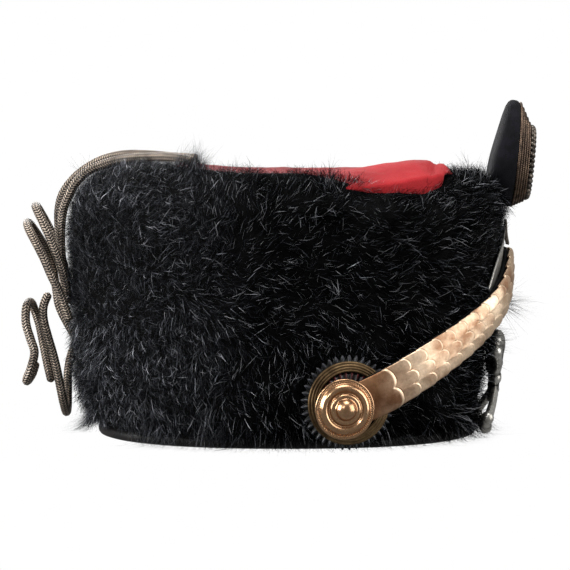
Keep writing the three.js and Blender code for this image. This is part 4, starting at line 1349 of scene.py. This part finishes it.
# The bare band over the skull, with a raised line along both edges
def makeScroll(material):
    shares, widths = np.linspace(-1, 1, 90), np.linspace(-1, 1, 15)
    along, across = np.meshgrid(shares, widths, indexing="ij")
    slope = np.arctan2(-2 * scroll["sag"] * along, scroll["halfWidth"])
    y = along * scroll["halfWidth"] - across * scroll["halfBand"] * np.sin(slope)
    z = scroll["top"] - scroll["sag"] * along ** 2 + across * scroll["halfBand"] * np.cos(slope)
    curl = scroll["curl"] * np.maximum(0, np.abs(along) - scroll["curlFrom"]) / 0.18
    lines = 0.45 * np.exp(-((np.abs(across) - 0.8) / 0.1) ** 2) + 0.4 * (1 - across ** 2)
    x = furFrontAt(y, z) + scroll["offFur"] + lines + curl
    verts = toCap(np.stack([x, y + along * 0.8, z], axis=-1))
    item = newObject("frontBand", verts, gridFaces(len(shares), len(widths)), material)
    storeValues(item, "relief", (0.25 + lines * 1.1).ravel())
    thicken(item, scroll["thickness"], 0)
    finishPiece(item, "white_metal", "front_scroll")


rim = {"back": -106, "front": 102.5, "halfWidth": 89, "around": 200}
rimSection = (  # inset, height
    (4.5, 0), (-2.9, 0), (-4.1, 0.4), (-4.8, 1.3), (-5, 2.6), (-4.9, 3.9), (-4.4, 5), (-3.4, 5.7),
    (-2.2, 6), (4.5, 6))


def makeRim(material):
    angles = np.linspace(0, 2 * math.pi, rim["around"], endpoint=False)
    rings = [ovalAt((z, rim["back"] + inset, rim["front"] - inset, rim["halfWidth"] - inset), angles)
             for inset, z in rimSection]
    faces = gridFaces(len(rings), rim["around"], True, True)
    item = outward(newObject("rimLeather", toCap(np.concatenate(rings)), faces, material))
    finishPiece(item, "leather", "rim_binding")


lace = {"radius": 0.8, "step": 0.8, "sides": 10, "endLength": 0.6, "stepsPerSpan": 12,
        "right": ((126.2, -4, 107.4), (125.1, -3.4, 114)), "top": (124.9, 0, 121.6)}


def makeThong(material):
    left = [(x, -y, z) for x, y, z in reversed(lace["right"])]
    line = smoothTable([place(*p) for p in (*lace["right"], lace["top"], *left)], lace["stepsPerSpan"])
    item = tubeMesh("lacing", line, lambda s, a: lace["radius"] * mm, material, lace["step"] * mm,
                    lace["sides"], lace["endLength"] * mm)
    finishPiece(item, "leather", "strap_thong")


silver = agedMaterial("oldSilver", dark=(0.42, 0.4, 0.36), light=(0.8, 0.78, 0.73), patch=260, grain=900,
                      grainDepth=0.15, roughness=(0.42, 0.26), metallic=0.9, bump=0.1,
                      byRelief=[(0.18, (0.02,) * 3), (0.5, (0.6,) * 3), (0.7, (1, 1, 1))])
makeSkull(silver)
makeScroll(silver)
leathers = {"rim": ((0.004, 0.003, 0.003), (0.012, 0.009, 0.008), 0.45),
            "lace": ((0.03, 0.022, 0.018), (0.09, 0.07, 0.055), 0.6),
            "inner": ((0.05, 0.03, 0.02), (0.11, 0.066, 0.045), 0.55)}
leathers = {name: agedMaterial(name + "Leather", dark, light, 45, 700, 0.3, (rough, rough),
                               specular=0.35, bump=0.25)
            for name, (dark, light, rough) in leathers.items()}
makeRim(leathers["rim"])
makeThong(leathers["lace"])
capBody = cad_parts["cap_body"]
capBody.data.materials.clear()
capBody.data.materials.append(leathers["inner"])
print("front badges and rim made")


# Stage and light
# A white backdrop for the camera, and a dim grey room for what the gloss mirrors
def makeStage():
    world = bpy.data.worlds.new("studio")
    world.use_nodes = True
    tree = world.node_tree
    room = tree.nodes["Background"]
    setSockets(room, {"Color": (1, 1, 1, 1), "Strength": 0.22})
    backdrop = addNode(tree, "ShaderNodeBackground", Color=(1, 1, 1, 1))
    seen = tree.nodes.new("ShaderNodeLightPath")
    mix = tree.nodes.new("ShaderNodeMixShader")
    linkNodes(tree, (seen.outputs["Is Camera Ray"], mix.inputs[0]), (room.outputs[0], mix.inputs[1]),
              (backdrop.outputs[0], mix.inputs[2]),
              (mix.outputs[0], tree.nodes["World Output"].inputs["Surface"]))
    bpy.context.scene.world = world
    bpy.context.scene.view_settings.view_transform = "Standard"


lights = (
    {"name": "leftLight", "spot": (-1000, -420, 420), "size": 0.7, "power": 17},
    {"name": "rightLight", "spot": (1050, -420, 350), "size": 1.0, "power": 10.5},
    {"name": "topLight", "spot": (150, -250, 1200), "size": 0.6, "power": 11},
    {"name": "frontLight", "spot": (-500, -1300, 800), "size": 0.25, "power": 4},
    {"name": "backLight", "spot": (-300, 1100, 600), "size": 0.8, "power": 12},
)


def makeLights():
    for row in lights:
        data = bpy.data.lights.new(row["name"], "AREA")
        data.size = row["size"]
        data.energy = row["power"]
        item = addObject(row["name"], data)
        item.location = place(*row["spot"])
        aim(item, place(0, 0, 70))


makeStage()
makeLights()
print("stage and lights made")
